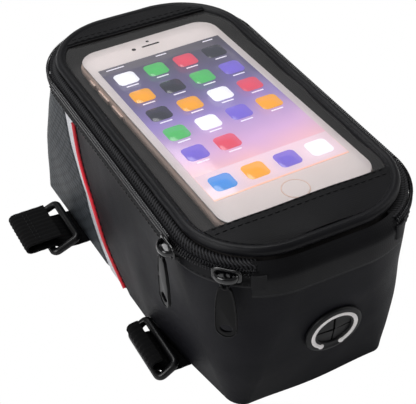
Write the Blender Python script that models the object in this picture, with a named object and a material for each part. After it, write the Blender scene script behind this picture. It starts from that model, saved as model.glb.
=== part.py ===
"""Top tube phone bag: a soft box bag with a zipped, windowed lid that holds a phone, carried by two straps.

+X is to the right, +Y runs away from the earphone-port end, +Z is up. The origin is on the underside of the
grip pad, which sits on the bicycle's tube. The straps' undersides are level with it.
"""
import bpy
import bmesh
from math import acos, cos, degrees, hypot, pi, radians, sin
from mathutils import Vector

MM = 0.001
GAP = 0.3                       # clearance between touching pieces, mm

# Driving sizes, mm
STRAP_THICK = 1.6
BASE_Z = STRAP_THICK + GAP      # underside of the base panel
BODY_HEIGHT = 68.0              # base underside to the top edge of the walls
WALL = 1.6
LINING = 0.8
LINING_DROP = 6.0               # rim of the lining below the walls' top edge
TOP_HALF_WIDTH = 47.0           # outline at the top edge of the walls
TOP_NEAR_Y = -92.0
TOP_FAR_Y = 94.0
TOP_RADIUS_NEAR = 34.0
TOP_RADIUS_FAR = 36.0
FOOT_HALF_WIDTH = TOP_HALF_WIDTH - 3.0      # outline at the foot of the walls
FOOT_NEAR_Y = TOP_NEAR_Y + 12.0
FOOT_FAR_Y = TOP_FAR_Y + 2.0
FOOT_RADIUS_NEAR = 11.0
FOOT_RADIUS_FAR = 8.0
FOOT_TAPER_FROM_Y = -22.0       # the foot narrows from here to the port end, and widens to the far end
FOOT_NOSE_HALF_WIDTH = TOP_HALF_WIDTH - 13.0
FOOT_TAIL_HALF_WIDTH = TOP_HALF_WIDTH + 0.5
WALL_SWELL = 1.2
WALL_STEPS = 6                  # columns of the wall on each stretch of the outline
SEAM_CLEAR = 0.05               # no column stands closer to a seam than this share of a stretch

PIPING_TOP_Y = 37.8             # red piping on each side: where it meets the top and the foot
PIPING_FOOT_Y = 2.0
PIPING_BOW = 6.8                # how far the piping bows towards the far end at half height
PIPING_WIDTH = 2.2
PIPING_PROUD = 0.9
STRIP_TOP_WIDTH = 8.0           # reflective strip behind the piping
STRIP_MIDDLE_WIDTH = 3.0
STRIP_FOOT_WIDTH = 13.0
REAR_SEAM = 0.5                 # share of the rear corner where the rear panel starts

BINDING_INSET = 3.3             # lid binding, measured in from the body outline
BINDING_WIDTH = 4.7
BINDING_HEIGHT = 4.4
LID_RISE = 14.2                 # walls' top edge to the top of the binding
ZIP_RISE = 7.25                 # walls' top edge to the level between the two rows of teeth
LID_TOP = BASE_Z + BODY_HEIGHT + LID_RISE
SPLIT_Z = BASE_Z + BODY_HEIGHT + ZIP_RISE
TOOTH_HEIGHT = 1.7
TOOTH_DEPTH = 1.5
TOOTH_INSET = 0.1               # how far the teeth stand back over the outline
TAPE_THICK = 1.0
TAPE_FOOT = 1.5                 # height of the tape's foot on the wall's top edge
ZIP_STEPS = 44
ZIP_LEFT_INSET = 18.0           # the chain stops on the port face, this far in from the lid's left side
ZIP_RIGHT_INSET = 20.0
ZIP_LEFT_END = ZIP_LEFT_INSET - TOP_HALF_WIDTH
ZIP_RIGHT_END = TOP_HALF_WIDTH - ZIP_RIGHT_INSET
GARAGE_WIDTH = 6.0
STOP_LAP = 0.25                 # share of each stop patch that covers teeth
STOP_RISE = 1.0                 # foot of the stop patches above the walls
STRIP_LAP = 4.0                 # how far the hinge strip laps the wall
STRIP_IN = 0.5                  # the hinge strip stands out from the outline by this
STRIP_STEPS = 16
END_SHARE = 0.01                # the hinge strip ends this share of a stretch before the chain

FILM_THICK = 0.4
BAND_THICK = 0.9
BAND_DROP = 1.4                 # underside of the bands below the binding's top
FRONT_BAND_DEPTH = 25.5         # from the lid's end to the band's edge across the window
REAR_BAND_DEPTH = 19.0
FRONT_BAND_EDGE_Y = TOP_NEAR_Y + FRONT_BAND_DEPTH
REAR_BAND_EDGE_Y = TOP_FAR_Y - REAR_BAND_DEPTH
PHONE_WIDTH = 67.0
PHONE_LENGTH = 138.0
PHONE_THICK = 7.1
PHONE_CORNER = 10.0
PHONE_X, PHONE_Y = 1.8, 1.3
PHONE_TURN = 1.5                # the phone lies a little askew in its pocket, degrees
SCREEN_WIDTH = 58.5
SCREEN_LENGTH = 104.0
HOME_KEY_RADIUS = 5.4
PHONE_RIM = 0.7                 # metal rim seen round the white face
POCKET_FLOOR = 1.0
POCKET_EASE = 0.2
FLAP_WIDTH = 60.0
FLAP_LENGTH = 34.0
FLAP_CORNER = 6.0

LID_STEPS = 56                  # facets round the lid

SLIDER_1_Y = -61.5
SLIDER_2_ANGLE = -134.0         # direction from the corner's centre, degrees
SLIDER_LENGTH = 11.0
SLIDER_HEIGHT = 6.5
SLIDER_PLATE = 1.1
PIN_RADIUS = 0.7
EYE_RADIUS = 1.9
EYE_WIDTH = 3.6
LUG_WALL = 0.6                  # metal round the pin in the slider's lugs
PULL_LENGTH = 27.0
PULL_WIDTH = 8.4
PULL_THICK = 1.3
PULL_HOLE = 2.0

PORT_X = 3.5
PORT_HEIGHT = 32.5              # centre of the port above the base's underside
PORT_RADIUS = 12.0
PORT_BORE = 7.6
PORT_NECK = 9.6
PORT_FLANGE = 1.4
PORT_EDGE = 0.7                 # rounding of the flange's outer edge
MEMBRANE_HALF = 0.5             # half thickness of the membrane
MARK_WIDTH = 1.7
MARK_FIRST, MARK_LAST = -68.0, 240.0    # the mark runs between these angles and is open at its foot
SLIT_WIDTH = 0.6
SLIT_SHORT = 1.4                # the slits end this far inside the bore

STRAP_WIDTH = 25.0
STRAPS = {                      # middle y, loop and ring beyond the foot, half spread of the ring's bars
    "far": (55.0, 32.0, 13.3, 5.5),
    "near": (-37.0, 12.4, 5.7, 3.4),
}
STRAP_RIGHT_X = FOOT_HALF_WIDTH - 4.0
LOOP_RADIUS = 2.2
RING_BAR = 2.4
RING_RISE = 5.0
GRIP_WIDTH = 44.0               # pad under the base between the straps
GRIP_LENGTH = 58.0
GRIP_Y = 9.0
GRIP_CORNER = 8.0

MATERIALS = {
    "side_fabric": ((0.012, 0.012, 0.014), 0.62, 0.0),
    "ripstop": ((0.09, 0.095, 0.10), 0.6, 0.0),
    "reflective": ((0.5, 0.5, 0.54), 0.35, 0.0),
    "red_piping": ((0.65, 0.01, 0.02), 0.5, 0.0),
    "lining": ((0.03, 0.03, 0.032), 0.9, 0.0),
    "binding": ((0.02, 0.02, 0.023), 0.5, 0.0),
    "tape": ((0.015, 0.015, 0.016), 0.8, 0.0),
    "teeth": ((0.01, 0.01, 0.01), 0.35, 0.0),
    "film": ((0.8, 0.8, 0.8), 0.08, 0.0),
    "rubber": ((0.012, 0.012, 0.013), 0.55, 0.0),
    "port_mark": ((0.66, 0.62, 0.6), 0.5, 0.0),
    "webbing": ((0.008, 0.008, 0.008), 0.85, 0.0),
    "black_plastic": ((0.01, 0.01, 0.011), 0.3, 0.0),
    "slider": ((0.02, 0.02, 0.022), 0.2, 0.8),
    "phone_shell": ((0.72, 0.5, 0.4), 0.3, 0.6),
    "phone_glass": ((0.8, 0.75, 0.74), 0.1, 0.0),
    "phone_screen": ((0.35, 0.3, 0.5), 0.1, 0.0),
}


def clear_scene():
    for old in list(bpy.data.objects):
        bpy.data.objects.remove(old, do_unlink=True)


def material(slot):
    found = bpy.data.materials.get(slot)
    if found:
        return found
    colour, roughness, metallic = MATERIALS[slot]
    made = bpy.data.materials.new(slot)
    made.use_nodes = True
    shader = made.node_tree.nodes["Principled BSDF"]
    shader.inputs["Base Color"].default_value = (*colour, 1.0)
    shader.inputs["Roughness"].default_value = roughness
    shader.inputs["Metallic"].default_value = metallic
    return made


def add_mesh(name, slot, points, faces, origin=(0, 0, 0)):
    """An object from points in mm, with its own origin, and its faces turned outwards."""
    mesh = bpy.data.meshes.new(name)
    bm = bmesh.new()
    base = Vector(origin)
    verts = [bm.verts.new((Vector(p) - base) * MM) for p in points]
    for face in faces:
        bm.faces.new([verts[i] for i in face])
    bmesh.ops.recalc_face_normals(bm, faces=bm.faces)
    bm.to_mesh(mesh)
    bm.free()
    mesh.materials.append(material(slot))
    piece = bpy.data.objects.new(name, mesh)
    piece.location = base * MM
    bpy.context.scene.collection.objects.link(piece)
    return piece


def skin(rings, closed_along, closed_across):
    """Faces over a list of equal rings of points. Open ends are capped when the rings are closed."""
    count = len(rings[0])
    points = [p for ring in rings for p in ring]
    faces = []
    rows = len(rings) if closed_along else len(rings) - 1
    columns = count if closed_across else count - 1
    for row in range(rows):
        after = (row + 1) % len(rings)
        for k in range(columns):
            nxt = (k + 1) % count
            faces.append((row * count + k, row * count + nxt, after * count + nxt, after * count + k))
    if closed_across and not closed_along:
        faces.append(tuple(range(count)))
        faces.append(tuple((len(rings) - 1) * count + k for k in reversed(range(count))))
    return points, faces


def cut_away(piece, cutter):
    """Cut one solid from another with an exact Boolean that stays on the object."""
    cutter.hide_render = True
    cutter.display_type = "WIRE"
    cut = piece.modifiers.new("cut_" + cutter.name, "BOOLEAN")
    cut.operation = "DIFFERENCE"
    cut.solver = "EXACT"
    cut.object = cutter


def outline(u, half_width, near_y, far_y, radius_near, radius_far):
    """Point and outward direction on a rounded rectangle.

    u runs anticlockwise through 8 stretches: port side, corner, right side, corner, far side, corner,
    left side, corner.
    """
    u = u % 8.0
    stretch = int(u)
    share = u - stretch
    rn, rf = radius_near, radius_far
    corners = {
        1: (half_width - rn, near_y + rn, rn, -90.0),
        3: (half_width - rf, far_y - rf, rf, 0.0),
        5: (-half_width + rf, far_y - rf, rf, 90.0),
        7: (-half_width + rn, near_y + rn, rn, 180.0),
    }
    if stretch in corners:
        cx, cy, r, start = corners[stretch]
        a = radians(start + 90.0 * share)
        return (cx + r * cos(a), cy + r * sin(a)), (cos(a), sin(a))
    if stretch == 0:
        return ((half_width - rn) * (2 * share - 1), near_y), (0.0, -1.0)
    if stretch == 2:
        return (half_width, (near_y + rn) * (1 - share) + (far_y - rf) * share), (1.0, 0.0)
    if stretch == 4:
        return ((half_width - rf) * (1 - 2 * share), far_y), (0.0, 1.0)
    return (-half_width, (far_y - rf) * (1 - share) + (near_y + rn) * share), (-1.0, 0.0)


def top_outline(u):
    return outline(u, TOP_HALF_WIDTH, TOP_NEAR_Y, TOP_FAR_Y, TOP_RADIUS_NEAR, TOP_RADIUS_FAR)


def foot_outline(u):
    """The foot's outline, narrowed towards the port end and widened towards the far end."""
    (x, y), normal = outline(u, FOOT_HALF_WIDTH, FOOT_NEAR_Y, FOOT_FAR_Y, FOOT_RADIUS_NEAR, FOOT_RADIUS_FAR)
    if y < FOOT_TAPER_FROM_Y:
        end_y, end_width = FOOT_NEAR_Y, FOOT_NOSE_HALF_WIDTH
    else:
        end_y, end_width = FOOT_FAR_Y, FOOT_TAIL_HALF_WIDTH
    share = (y - FOOT_TAPER_FROM_Y) / (end_y - FOOT_TAPER_FROM_Y)
    return (x * (1.0 + (end_width / FOOT_HALF_WIDTH - 1.0) * share), y), normal


def ring_point(u, out, z):
    """A point beside the top outline: out is the distance outwards from it."""
    (x, y), (nx, ny) = top_outline(u)
    return (x + nx * out, y + ny * out, z)


def wall_point(u, t, depth):
    """A point of the body's wall: t is 0 at the top edge and 1 at the foot, depth is inwards."""
    (x0, y0), (nx0, ny0) = top_outline(u)
    (x1, y1), (nx1, ny1) = foot_outline(u)
    nx = nx0 * (1 - t) + nx1 * t
    ny = ny0 * (1 - t) + ny1 * t
    size = hypot(nx, ny)
    out = WALL_SWELL * sin(pi * t) - depth
    x = x0 * (1 - t) + x1 * t + nx / size * out
    y = y0 * (1 - t) + y1 * t + ny / size * out
    return (x, y, BASE_Z + BODY_HEIGHT * (1 - t))


def side_u(y, t, left):
    """The outline value of a place y on a side wall."""
    low = (TOP_NEAR_Y + TOP_RADIUS_NEAR) * (1 - t) + (FOOT_NEAR_Y + FOOT_RADIUS_NEAR) * t
    high = (TOP_FAR_Y - TOP_RADIUS_FAR) * (1 - t) + (FOOT_FAR_Y - FOOT_RADIUS_FAR) * t
    share = (y - low) / (high - low)
    return 7.0 - share if left else 2.0 + share


def wall_panel(name, slot, start, end, proud=0.0, rows=7):
    """A panel of the wall between two seams, each given as the outline value at height t.

    Its columns stand where the base and the lining have theirs, so that their facets stay parallel. Its two
    seam sides are strips of small faces, because a bowed seam isn't flat.
    """
    first = max(start(t) for t in (0.0, 0.5, 1.0))
    last = min(end(t) for t in (0.0, 0.5, 1.0))
    steps = [k / WALL_STEPS for k in range(int(first * WALL_STEPS) + 1, int(last * WALL_STEPS) + 1)]
    inner = [u for u in steps if first + SEAM_CLEAR < u < last - SEAM_CLEAR]
    columns = [start] + [lambda t, u=u: u for u in inner] + [end]
    rings = []
    for column in columns:
        ring = []
        for depth, order in ((-proud, range(rows + 1)), (WALL, range(rows, -1, -1))):
            for row in order:
                ring.append(wall_point(column(row / rows), row / rows, depth))
        rings.append(ring)
    points, faces = skin(rings, False, True)
    count = len(rings[0])
    faces = faces[:-2]
    for first in (0, len(points) - count):
        for k in range(rows):
            faces.append((first + k, first + k + 1, first + count - 2 - k, first + count - 1 - k))
    return add_mesh(name, slot, points, faces)


def ring_piece(name, slot, section, start=0.0, end=8.0, steps=48):
    """A section of (out, z) points swept along the top outline, all round or between two places."""
    whole = end - start >= 8.0
    count = steps if whole else steps + 1
    places = [start + (end - start) * k / steps for k in range(count)]
    rings = [[ring_point(place, out, z) for out, z in section] for place in places]
    points, faces = skin(rings, whole, True)
    return add_mesh(name, slot, points, faces)


def plate(name, slot, outline_points, low, high, origin=(0, 0, 0)):
    """A flat plate with the given outline between two levels."""
    rings = [[(x, y, low) for x, y in outline_points], [(x, y, high) for x, y in outline_points]]
    points, faces = skin(rings, False, True)
    return add_mesh(name, slot, points, faces, origin)


def turn_about(points, middle, angle):
    """Points turned about a middle by an angle in degrees."""
    c, s = cos(radians(angle)), sin(radians(angle))
    x, y = middle
    return [(x + c * (a - x) - s * (b - y), y + s * (a - x) + c * (b - y)) for a, b in points]


def rounded_plate(name, slot, middle, width, length, radius, low, high, steps=5, turn=0.0):
    x, y = middle
    corners = ((1, -1, -90), (1, 1, 0), (-1, 1, 90), (-1, -1, 180))
    shape = []
    for sx, sy, start in corners:
        for k in range(steps + 1):
            a = radians(start + 90 * k / steps)
            shape.append((
                x + sx * (width / 2 - radius) + radius * cos(a),
                y + sy * (length / 2 - radius) + radius * sin(a),
            ))
    return plate(name, slot, turn_about(shape, middle, turn), low, high)


def lid_area(out, near_y, far_y):
    """The part of the lid outline, moved out by out, that lies between two places along Y."""
    shape = [ring_point(8.0 * k / LID_STEPS, out, 0.0)[:2] for k in range(LID_STEPS)]
    for limit, keep in ((near_y, 1), (far_y, -1)):
        kept = []
        for k, (x, y) in enumerate(shape):
            x0, y0 = shape[k - 1]
            inside, was_inside = (y - limit) * keep >= 0, (y0 - limit) * keep >= 0
            if inside != was_inside:
                share = (limit - y0) / (y - y0)
                kept.append((x0 + (x - x0) * share, limit))
            if inside:
                kept.append((x, y))
        shape = kept
    return shape


def cup(name, slot, outer, inner):
    """An open shell: outer rings from the rim down to the floor, inner rings from the floor up to the rim."""
    rings = outer + inner
    points, faces = skin(rings, True, True)
    count = len(outer[0])
    floor_row = (len(outer) - 1) * count
    faces = [face for face in faces if not floor_row <= face[0] < floor_row + count]
    faces.append(tuple(floor_row + k for k in range(count)))
    faces.append(tuple(floor_row + count + k for k in range(count)))
    return add_mesh(name, slot, points, faces)


def join_on(piece, other):
    """Make two overlapping solids one with an exact Boolean that stays on the object."""
    other.hide_render = True
    other.display_type = "WIRE"
    joined = piece.modifiers.new("join_" + other.name, "BOOLEAN")
    joined.operation = "UNION"
    joined.solver = "EXACT"
    joined.object = other


def near_u(x):
    """The outline value of a place x on the port face, which is mostly the two round corners."""
    flat = TOP_HALF_WIDTH - TOP_RADIUS_NEAR
    if x > flat:
        return 2.0 - degrees(acos((x - flat) / TOP_RADIUS_NEAR)) / 90.0
    if x < -flat:
        return 7.0 + degrees(acos((-x - flat) / TOP_RADIUS_NEAR)) / 90.0
    return (x / flat + 1.0) / 2.0


def piping_y(t):
    return PIPING_TOP_Y * (1 - t) + PIPING_FOOT_Y * t + PIPING_BOW * sin(pi * t)


def strip_y(t):
    """The far edge of the reflective strip, which is narrowest at half height."""
    end_width = STRIP_TOP_WIDTH if t < 0.5 else STRIP_FOOT_WIDTH
    share = abs(2 * t - 1)
    return piping_y(t) + PIPING_WIDTH + STRIP_MIDDLE_WIDTH * (1 - share) + end_width * share


def between(left, near, far):
    """Two seams in the order that the outline runs: from far to near on the left side."""
    return (far, near) if left else (near, far)


def build_body():
    """Walls with their seams, the base and the lining. The port is cut later."""
    corner_gap = GAP / (TOP_RADIUS_FAR * pi / 2)
    front = wall_panel(
        "front_panel", "side_fabric",
        lambda t: side_u(piping_y(t), t, True),
        lambda t: side_u(piping_y(t), t, False) + 8.0)
    for side, left in (("left", True), ("right", False)):
        wall_panel(
            side + "_piping", "red_piping",
            *between(left, lambda t: side_u(piping_y(t) + GAP, t, left),
                     lambda t: side_u(piping_y(t) + PIPING_WIDTH, t, left)), proud=PIPING_PROUD)
        wall_panel(
            side + "_reflective_strip", "reflective",
            *between(left, lambda t: side_u(piping_y(t) + PIPING_WIDTH + GAP, t, left),
                     lambda t: side_u(strip_y(t), t, left)))
        seam = 5.0 + REAR_SEAM + corner_gap if left else 4.0 - REAR_SEAM - corner_gap
        wall_panel(
            side + "_ripstop_panel", "ripstop",
            *between(left, lambda t: side_u(strip_y(t) + GAP, t, left), lambda t: seam))
    wall_panel("rear_panel", "ripstop", lambda t: 4.0 - REAR_SEAM, lambda t: 5.0 + REAR_SEAM)
    steps, rows = 8 * WALL_STEPS, 5
    base_shape = [wall_point(8.0 * k / steps, 1.0, WALL + GAP)[:2] for k in range(steps)]
    plate("base_panel", "side_fabric", base_shape, BASE_Z, BASE_Z + WALL)
    rounded_plate("grip_pad", "rubber", (0.0, GRIP_Y), GRIP_WIDTH, GRIP_LENGTH, GRIP_CORNER, 0.0, BASE_Z - GAP)
    close, deep = WALL + GAP, WALL + GAP + LINING
    rim = LINING_DROP / BODY_HEIGHT
    under = 1.0 - (WALL + GAP) / BODY_HEIGHT
    floor = under - LINING / BODY_HEIGHT
    outer = [rim + (under - rim) * k / rows for k in range(rows + 1)]
    inner = [rim + (floor - rim) * k / rows for k in range(rows, -1, -1)]
    lining = cup(
        "lining", "lining",
        [[wall_point(8.0 * k / steps, t, close) for k in range(steps)] for t in outer],
        [[wall_point(8.0 * k / steps, t, deep) for k in range(steps)] for t in inner])
    return front, lining


def build_zip():
    """Two rows of teeth and their tapes, from one stop on the port face round to the other.

    Everything of the lid lies above the split level, and everything of the bag below it.
    """
    begin, finish = near_u(ZIP_RIGHT_END), near_u(ZIP_LEFT_END)
    teeth_in = -TOOTH_INSET
    teeth_out = teeth_in + TOOTH_DEPTH
    upper = SPLIT_Z + GAP / 2
    lower = SPLIT_Z - GAP / 2
    tape_out = teeth_in - GAP
    tape_in = tape_out - TAPE_THICK
    wall_top = BASE_Z + BODY_HEIGHT
    lid_low = LID_TOP - BINDING_HEIGHT - GAP
    ring_piece("lid_zip_teeth", "teeth", [
        (teeth_in, upper), (teeth_out, upper), (teeth_out, upper + TOOTH_HEIGHT),
        (teeth_in, upper + TOOTH_HEIGHT)], begin, finish, ZIP_STEPS)
    ring_piece("bag_zip_teeth", "teeth", [
        (teeth_in, lower), (teeth_in, lower - TOOTH_HEIGHT), (teeth_out, lower - TOOTH_HEIGHT),
        (teeth_out, lower)], begin, finish, ZIP_STEPS)
    ring_piece("lid_zip_tape", "tape", [
        (-BINDING_INSET, lid_low), (tape_out, upper + TOOTH_HEIGHT), (tape_out, upper),
        (tape_in, upper), (tape_in, upper + TAPE_THICK), (-BINDING_INSET - TAPE_THICK, lid_low)],
        begin, finish, ZIP_STEPS)
    foot = wall_top + TAPE_FOOT
    ring_piece("bag_zip_tape", "tape", [
        (tape_out, lower), (tape_out, foot), (-GAP, wall_top + GAP), (-WALL, wall_top + GAP),
        (tape_in, foot), (tape_in, lower)], begin, finish, ZIP_STEPS)

    strip_out = STRIP_IN + TAPE_THICK
    first, last = finish - 8.0 + END_SHARE, begin - END_SHARE
    ring_piece("hinge_strip", "side_fabric", [
        (STRIP_IN, lower), (STRIP_IN, wall_top - STRIP_LAP), (strip_out, wall_top - STRIP_LAP),
        (strip_out, lower)], first, last, STRIP_STEPS)
    ring_piece("lid_hinge_strip", "side_fabric", [
        (-BINDING_INSET, lid_low), (strip_out, upper + TOOTH_HEIGHT), (strip_out, upper), (STRIP_IN, upper),
        (STRIP_IN, upper + TAPE_THICK), (-BINDING_INSET - TAPE_THICK, lid_low)], first, last, STRIP_STEPS)
    cover_in = strip_out + GAP
    cover_out = cover_in + TAPE_THICK
    length = GARAGE_WIDTH / (TOP_RADIUS_NEAR * pi / 2)
    stop_low = wall_top + STOP_RISE
    left_place, right_place = finish - length * STOP_LAP, begin - length * (1 - STOP_LAP)
    for name, place in (("left_zip_stop", left_place), ("right_zip_stop", right_place)):
        ring_piece(name, "side_fabric", [
            (cover_in, lower), (cover_in, stop_low), (cover_out, stop_low), (cover_out, lower)],
            place, place + length, 3)


def build_lid():
    """Binding, bands, film, pocket and its flap: all that lifts with the lid."""
    inner = -BINDING_INSET - BINDING_WIDTH
    low = LID_TOP - BINDING_HEIGHT
    chamfer = BINDING_HEIGHT * 0.3
    ring_piece("lid_binding", "binding", [
        (-BINDING_INSET - chamfer, LID_TOP), (-BINDING_INSET, LID_TOP - chamfer),
        (-BINDING_INSET, low + chamfer),
        (-BINDING_INSET - chamfer, low), (inner + chamfer, low), (inner, low + chamfer),
        (inner, LID_TOP - chamfer), (inner + chamfer, LID_TOP)], 0.0, 8.0, LID_STEPS)
    edge = inner - GAP
    band_low = LID_TOP - BAND_DROP
    film_low = band_low - GAP - FILM_THICK
    bands = (("front_band", TOP_NEAR_Y, FRONT_BAND_EDGE_Y), ("rear_band", REAR_BAND_EDGE_Y, TOP_FAR_Y))
    for name, near_y, far_y in bands:
        plate(name, "side_fabric", lid_area(edge, near_y, far_y), band_low, band_low + BAND_THICK)
    plate("window_film", "film", lid_area(edge, TOP_NEAR_Y, TOP_FAR_Y), film_low, film_low + FILM_THICK)

    phone_top = film_low - GAP
    phone_low = phone_top - PHONE_THICK
    floor_low = phone_low - GAP - POCKET_FLOOR
    wall_out = -BINDING_INSET - TAPE_THICK - GAP - POCKET_EASE
    steps = 8 * WALL_STEPS
    cup(
        "phone_pocket", "lining",
        [[ring_point(8.0 * k / steps, wall_out, z) for k in range(steps)] for z in (low - GAP, floor_low)],
        [[ring_point(8.0 * k / steps, wall_out - POCKET_FLOOR, z) for k in range(steps)]
         for z in (floor_low + POCKET_FLOOR, low - GAP)])
    rounded_plate("pocket_flap", "lining", (0.0, 0.0), FLAP_WIDTH, FLAP_LENGTH, FLAP_CORNER,
                  floor_low - GAP - LINING, floor_low - GAP)

    place = (PHONE_X, PHONE_Y)
    shell_top = phone_top - 3 * GAP
    rounded_plate("phone_shell", "phone_shell", place, PHONE_WIDTH, PHONE_LENGTH, PHONE_CORNER,
                  phone_low, shell_top - GAP, turn=PHONE_TURN)
    glass_width, glass_length = PHONE_WIDTH - 2 * PHONE_RIM, PHONE_LENGTH - 2 * PHONE_RIM
    rounded_plate("phone_glass", "phone_glass", place, glass_width, glass_length, PHONE_CORNER - PHONE_RIM,
                  shell_top, shell_top + GAP, turn=PHONE_TURN)
    low, high = phone_top - GAP, phone_top - GAP / 3
    rounded_plate("phone_screen", "phone_screen", place, SCREEN_WIDTH, SCREEN_LENGTH, 0.5, low, high, 1,
                  PHONE_TURN)
    key_y = PHONE_Y - (SCREEN_LENGTH + PHONE_LENGTH) / 4
    key = [(PHONE_X + x, key_y + y) for x, y in round_section(0.0, 0.0, HOME_KEY_RADIUS, 20)]
    plate("phone_home_key", "phone_glass", turn_about(key, place, PHONE_TURN), low, high)


def local_solid(name, slot, section, low, high, frame, origin):
    """A section swept between two values along a local direction.

    frame maps (along, out, up) to world points. The section holds (out, up) pairs.
    """
    rings = [[frame(along, out, up) for out, up in section] for along in (low, high)]
    points, faces = skin(rings, False, True)
    return add_mesh(name, slot, points, faces, origin)


def round_section(out, up, radius, sides=14):
    angles = [2 * pi * k / sides for k in range(sides)]
    return [(out + radius * cos(angle), up + radius * sin(angle)) for angle in angles]


def build_slider(number, place, outward, turn_centre):
    """One slider and its pull. place is the point of the outline behind its middle."""
    nx, ny = outward
    along_x, along_y = -ny, nx

    def frame(along, out, up):
        return (place[0] + nx * out - along_x * along, place[1] + ny * out - along_y * along, up)

    name = "slider_" + str(number)
    half = SLIDER_LENGTH / 2
    teeth_out = TOOTH_DEPTH - TOOTH_INSET
    plate_in = teeth_out + 2 * GAP
    plate_out = plate_in + SLIDER_PLATE
    bottom = SPLIT_Z - SLIDER_HEIGHT / 2
    top = SPLIT_Z + SLIDER_HEIGHT / 2
    hook_top = SPLIT_Z - TOOTH_HEIGHT - 1.5 * GAP
    slider = local_solid(name, "slider", [
        (plate_in, top), (plate_in, hook_top), (-TOOTH_INSET, hook_top), (-TOOTH_INSET, bottom),
        (plate_out, bottom), (plate_out, top)], -half, half, frame, turn_centre)
    pin_out = plate_out + EYE_RADIUS + GAP
    pin_up = SPLIT_Z
    lug_in = EYE_WIDTH / 2 + GAP
    for side in (-1, 1):
        ends = sorted((side * lug_in, side * (lug_in + SLIDER_PLATE)))
        lug = local_solid(name + ("_lug_a" if side < 0 else "_lug_b"), "slider", [
            (plate_in + GAP, pin_up + EYE_RADIUS), (plate_in + GAP, pin_up - EYE_RADIUS),
            (pin_out + LUG_WALL, pin_up - PIN_RADIUS - LUG_WALL), (pin_out + PIN_RADIUS + LUG_WALL, pin_up),
            (pin_out + LUG_WALL, pin_up + PIN_RADIUS + LUG_WALL)], ends[0], ends[1], frame, turn_centre)
        join_on(slider, lug)
    pin = local_solid(name + "_pin", "slider", round_section(pin_out, pin_up, PIN_RADIUS, 10),
                      -lug_in - SLIDER_PLATE / 2, lug_in + SLIDER_PLATE / 2, frame, turn_centre)
    join_on(slider, pin)

    axis_point = frame(0.0, pin_out, pin_up)
    pull_name = "pull_" + str(number)
    eye = local_solid(pull_name, "slider", round_section(pin_out, pin_up, EYE_RADIUS),
                      -EYE_WIDTH / 2, EYE_WIDTH / 2, frame, axis_point)
    bore = local_solid(pull_name + "_bore", "slider", round_section(pin_out, pin_up, PIN_RADIUS + GAP, 12),
                       -EYE_WIDTH, EYE_WIDTH, frame, axis_point)
    neck = EYE_WIDTH / 2 - GAP / 3
    hole_up = pin_up - PULL_LENGTH + PULL_WIDTH / 2
    tab = [(neck, pin_up - PIN_RADIUS - 2 * GAP), (neck, pin_up - EYE_RADIUS - 4 * GAP)]
    for k in range(9):
        a = radians(20.0 - 110.0 * k / 8)
        tab.append((PULL_WIDTH / 2 * cos(a), hole_up + PULL_WIDTH / 2 * sin(a)))
    tab += [(-x, z) for x, z in reversed(tab[:-1])]
    rings = [[frame(x, pin_out + side * PULL_THICK / 2, z) for x, z in tab] for side in (-1, 1)]
    points, faces = skin(rings, False, True)
    body = add_mesh(pull_name + "_tab", "slider", points, faces, axis_point)
    join_on(eye, body)
    cut_away(eye, bore)
    hole = [(PULL_HOLE * cos(2 * pi * k / 12), hole_up + PULL_HOLE * sin(2 * pi * k / 12)) for k in range(12)]
    rings = [[frame(x, pin_out + side * PULL_THICK, z) for x, z in hole] for side in (-1, 1)]
    points, faces = skin(rings, False, True)
    cut_away(eye, add_mesh(pull_name + "_hole", "slider", points, faces, axis_point))


def turned(name, slot, section, frame, first=0.0, last=360.0, steps=32):
    """A section of (radius, height) turned about the port's axis."""
    whole = last - first >= 360.0
    count = steps if whole else steps + 1
    rings = []
    for k in range(count):
        a = radians(first + (last - first) * k / steps)
        rings.append([frame(r * cos(a), r * sin(a), h) for r, h in section])
    points, faces = skin(rings, whole, True)
    return add_mesh(name, slot, points, faces)


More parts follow.
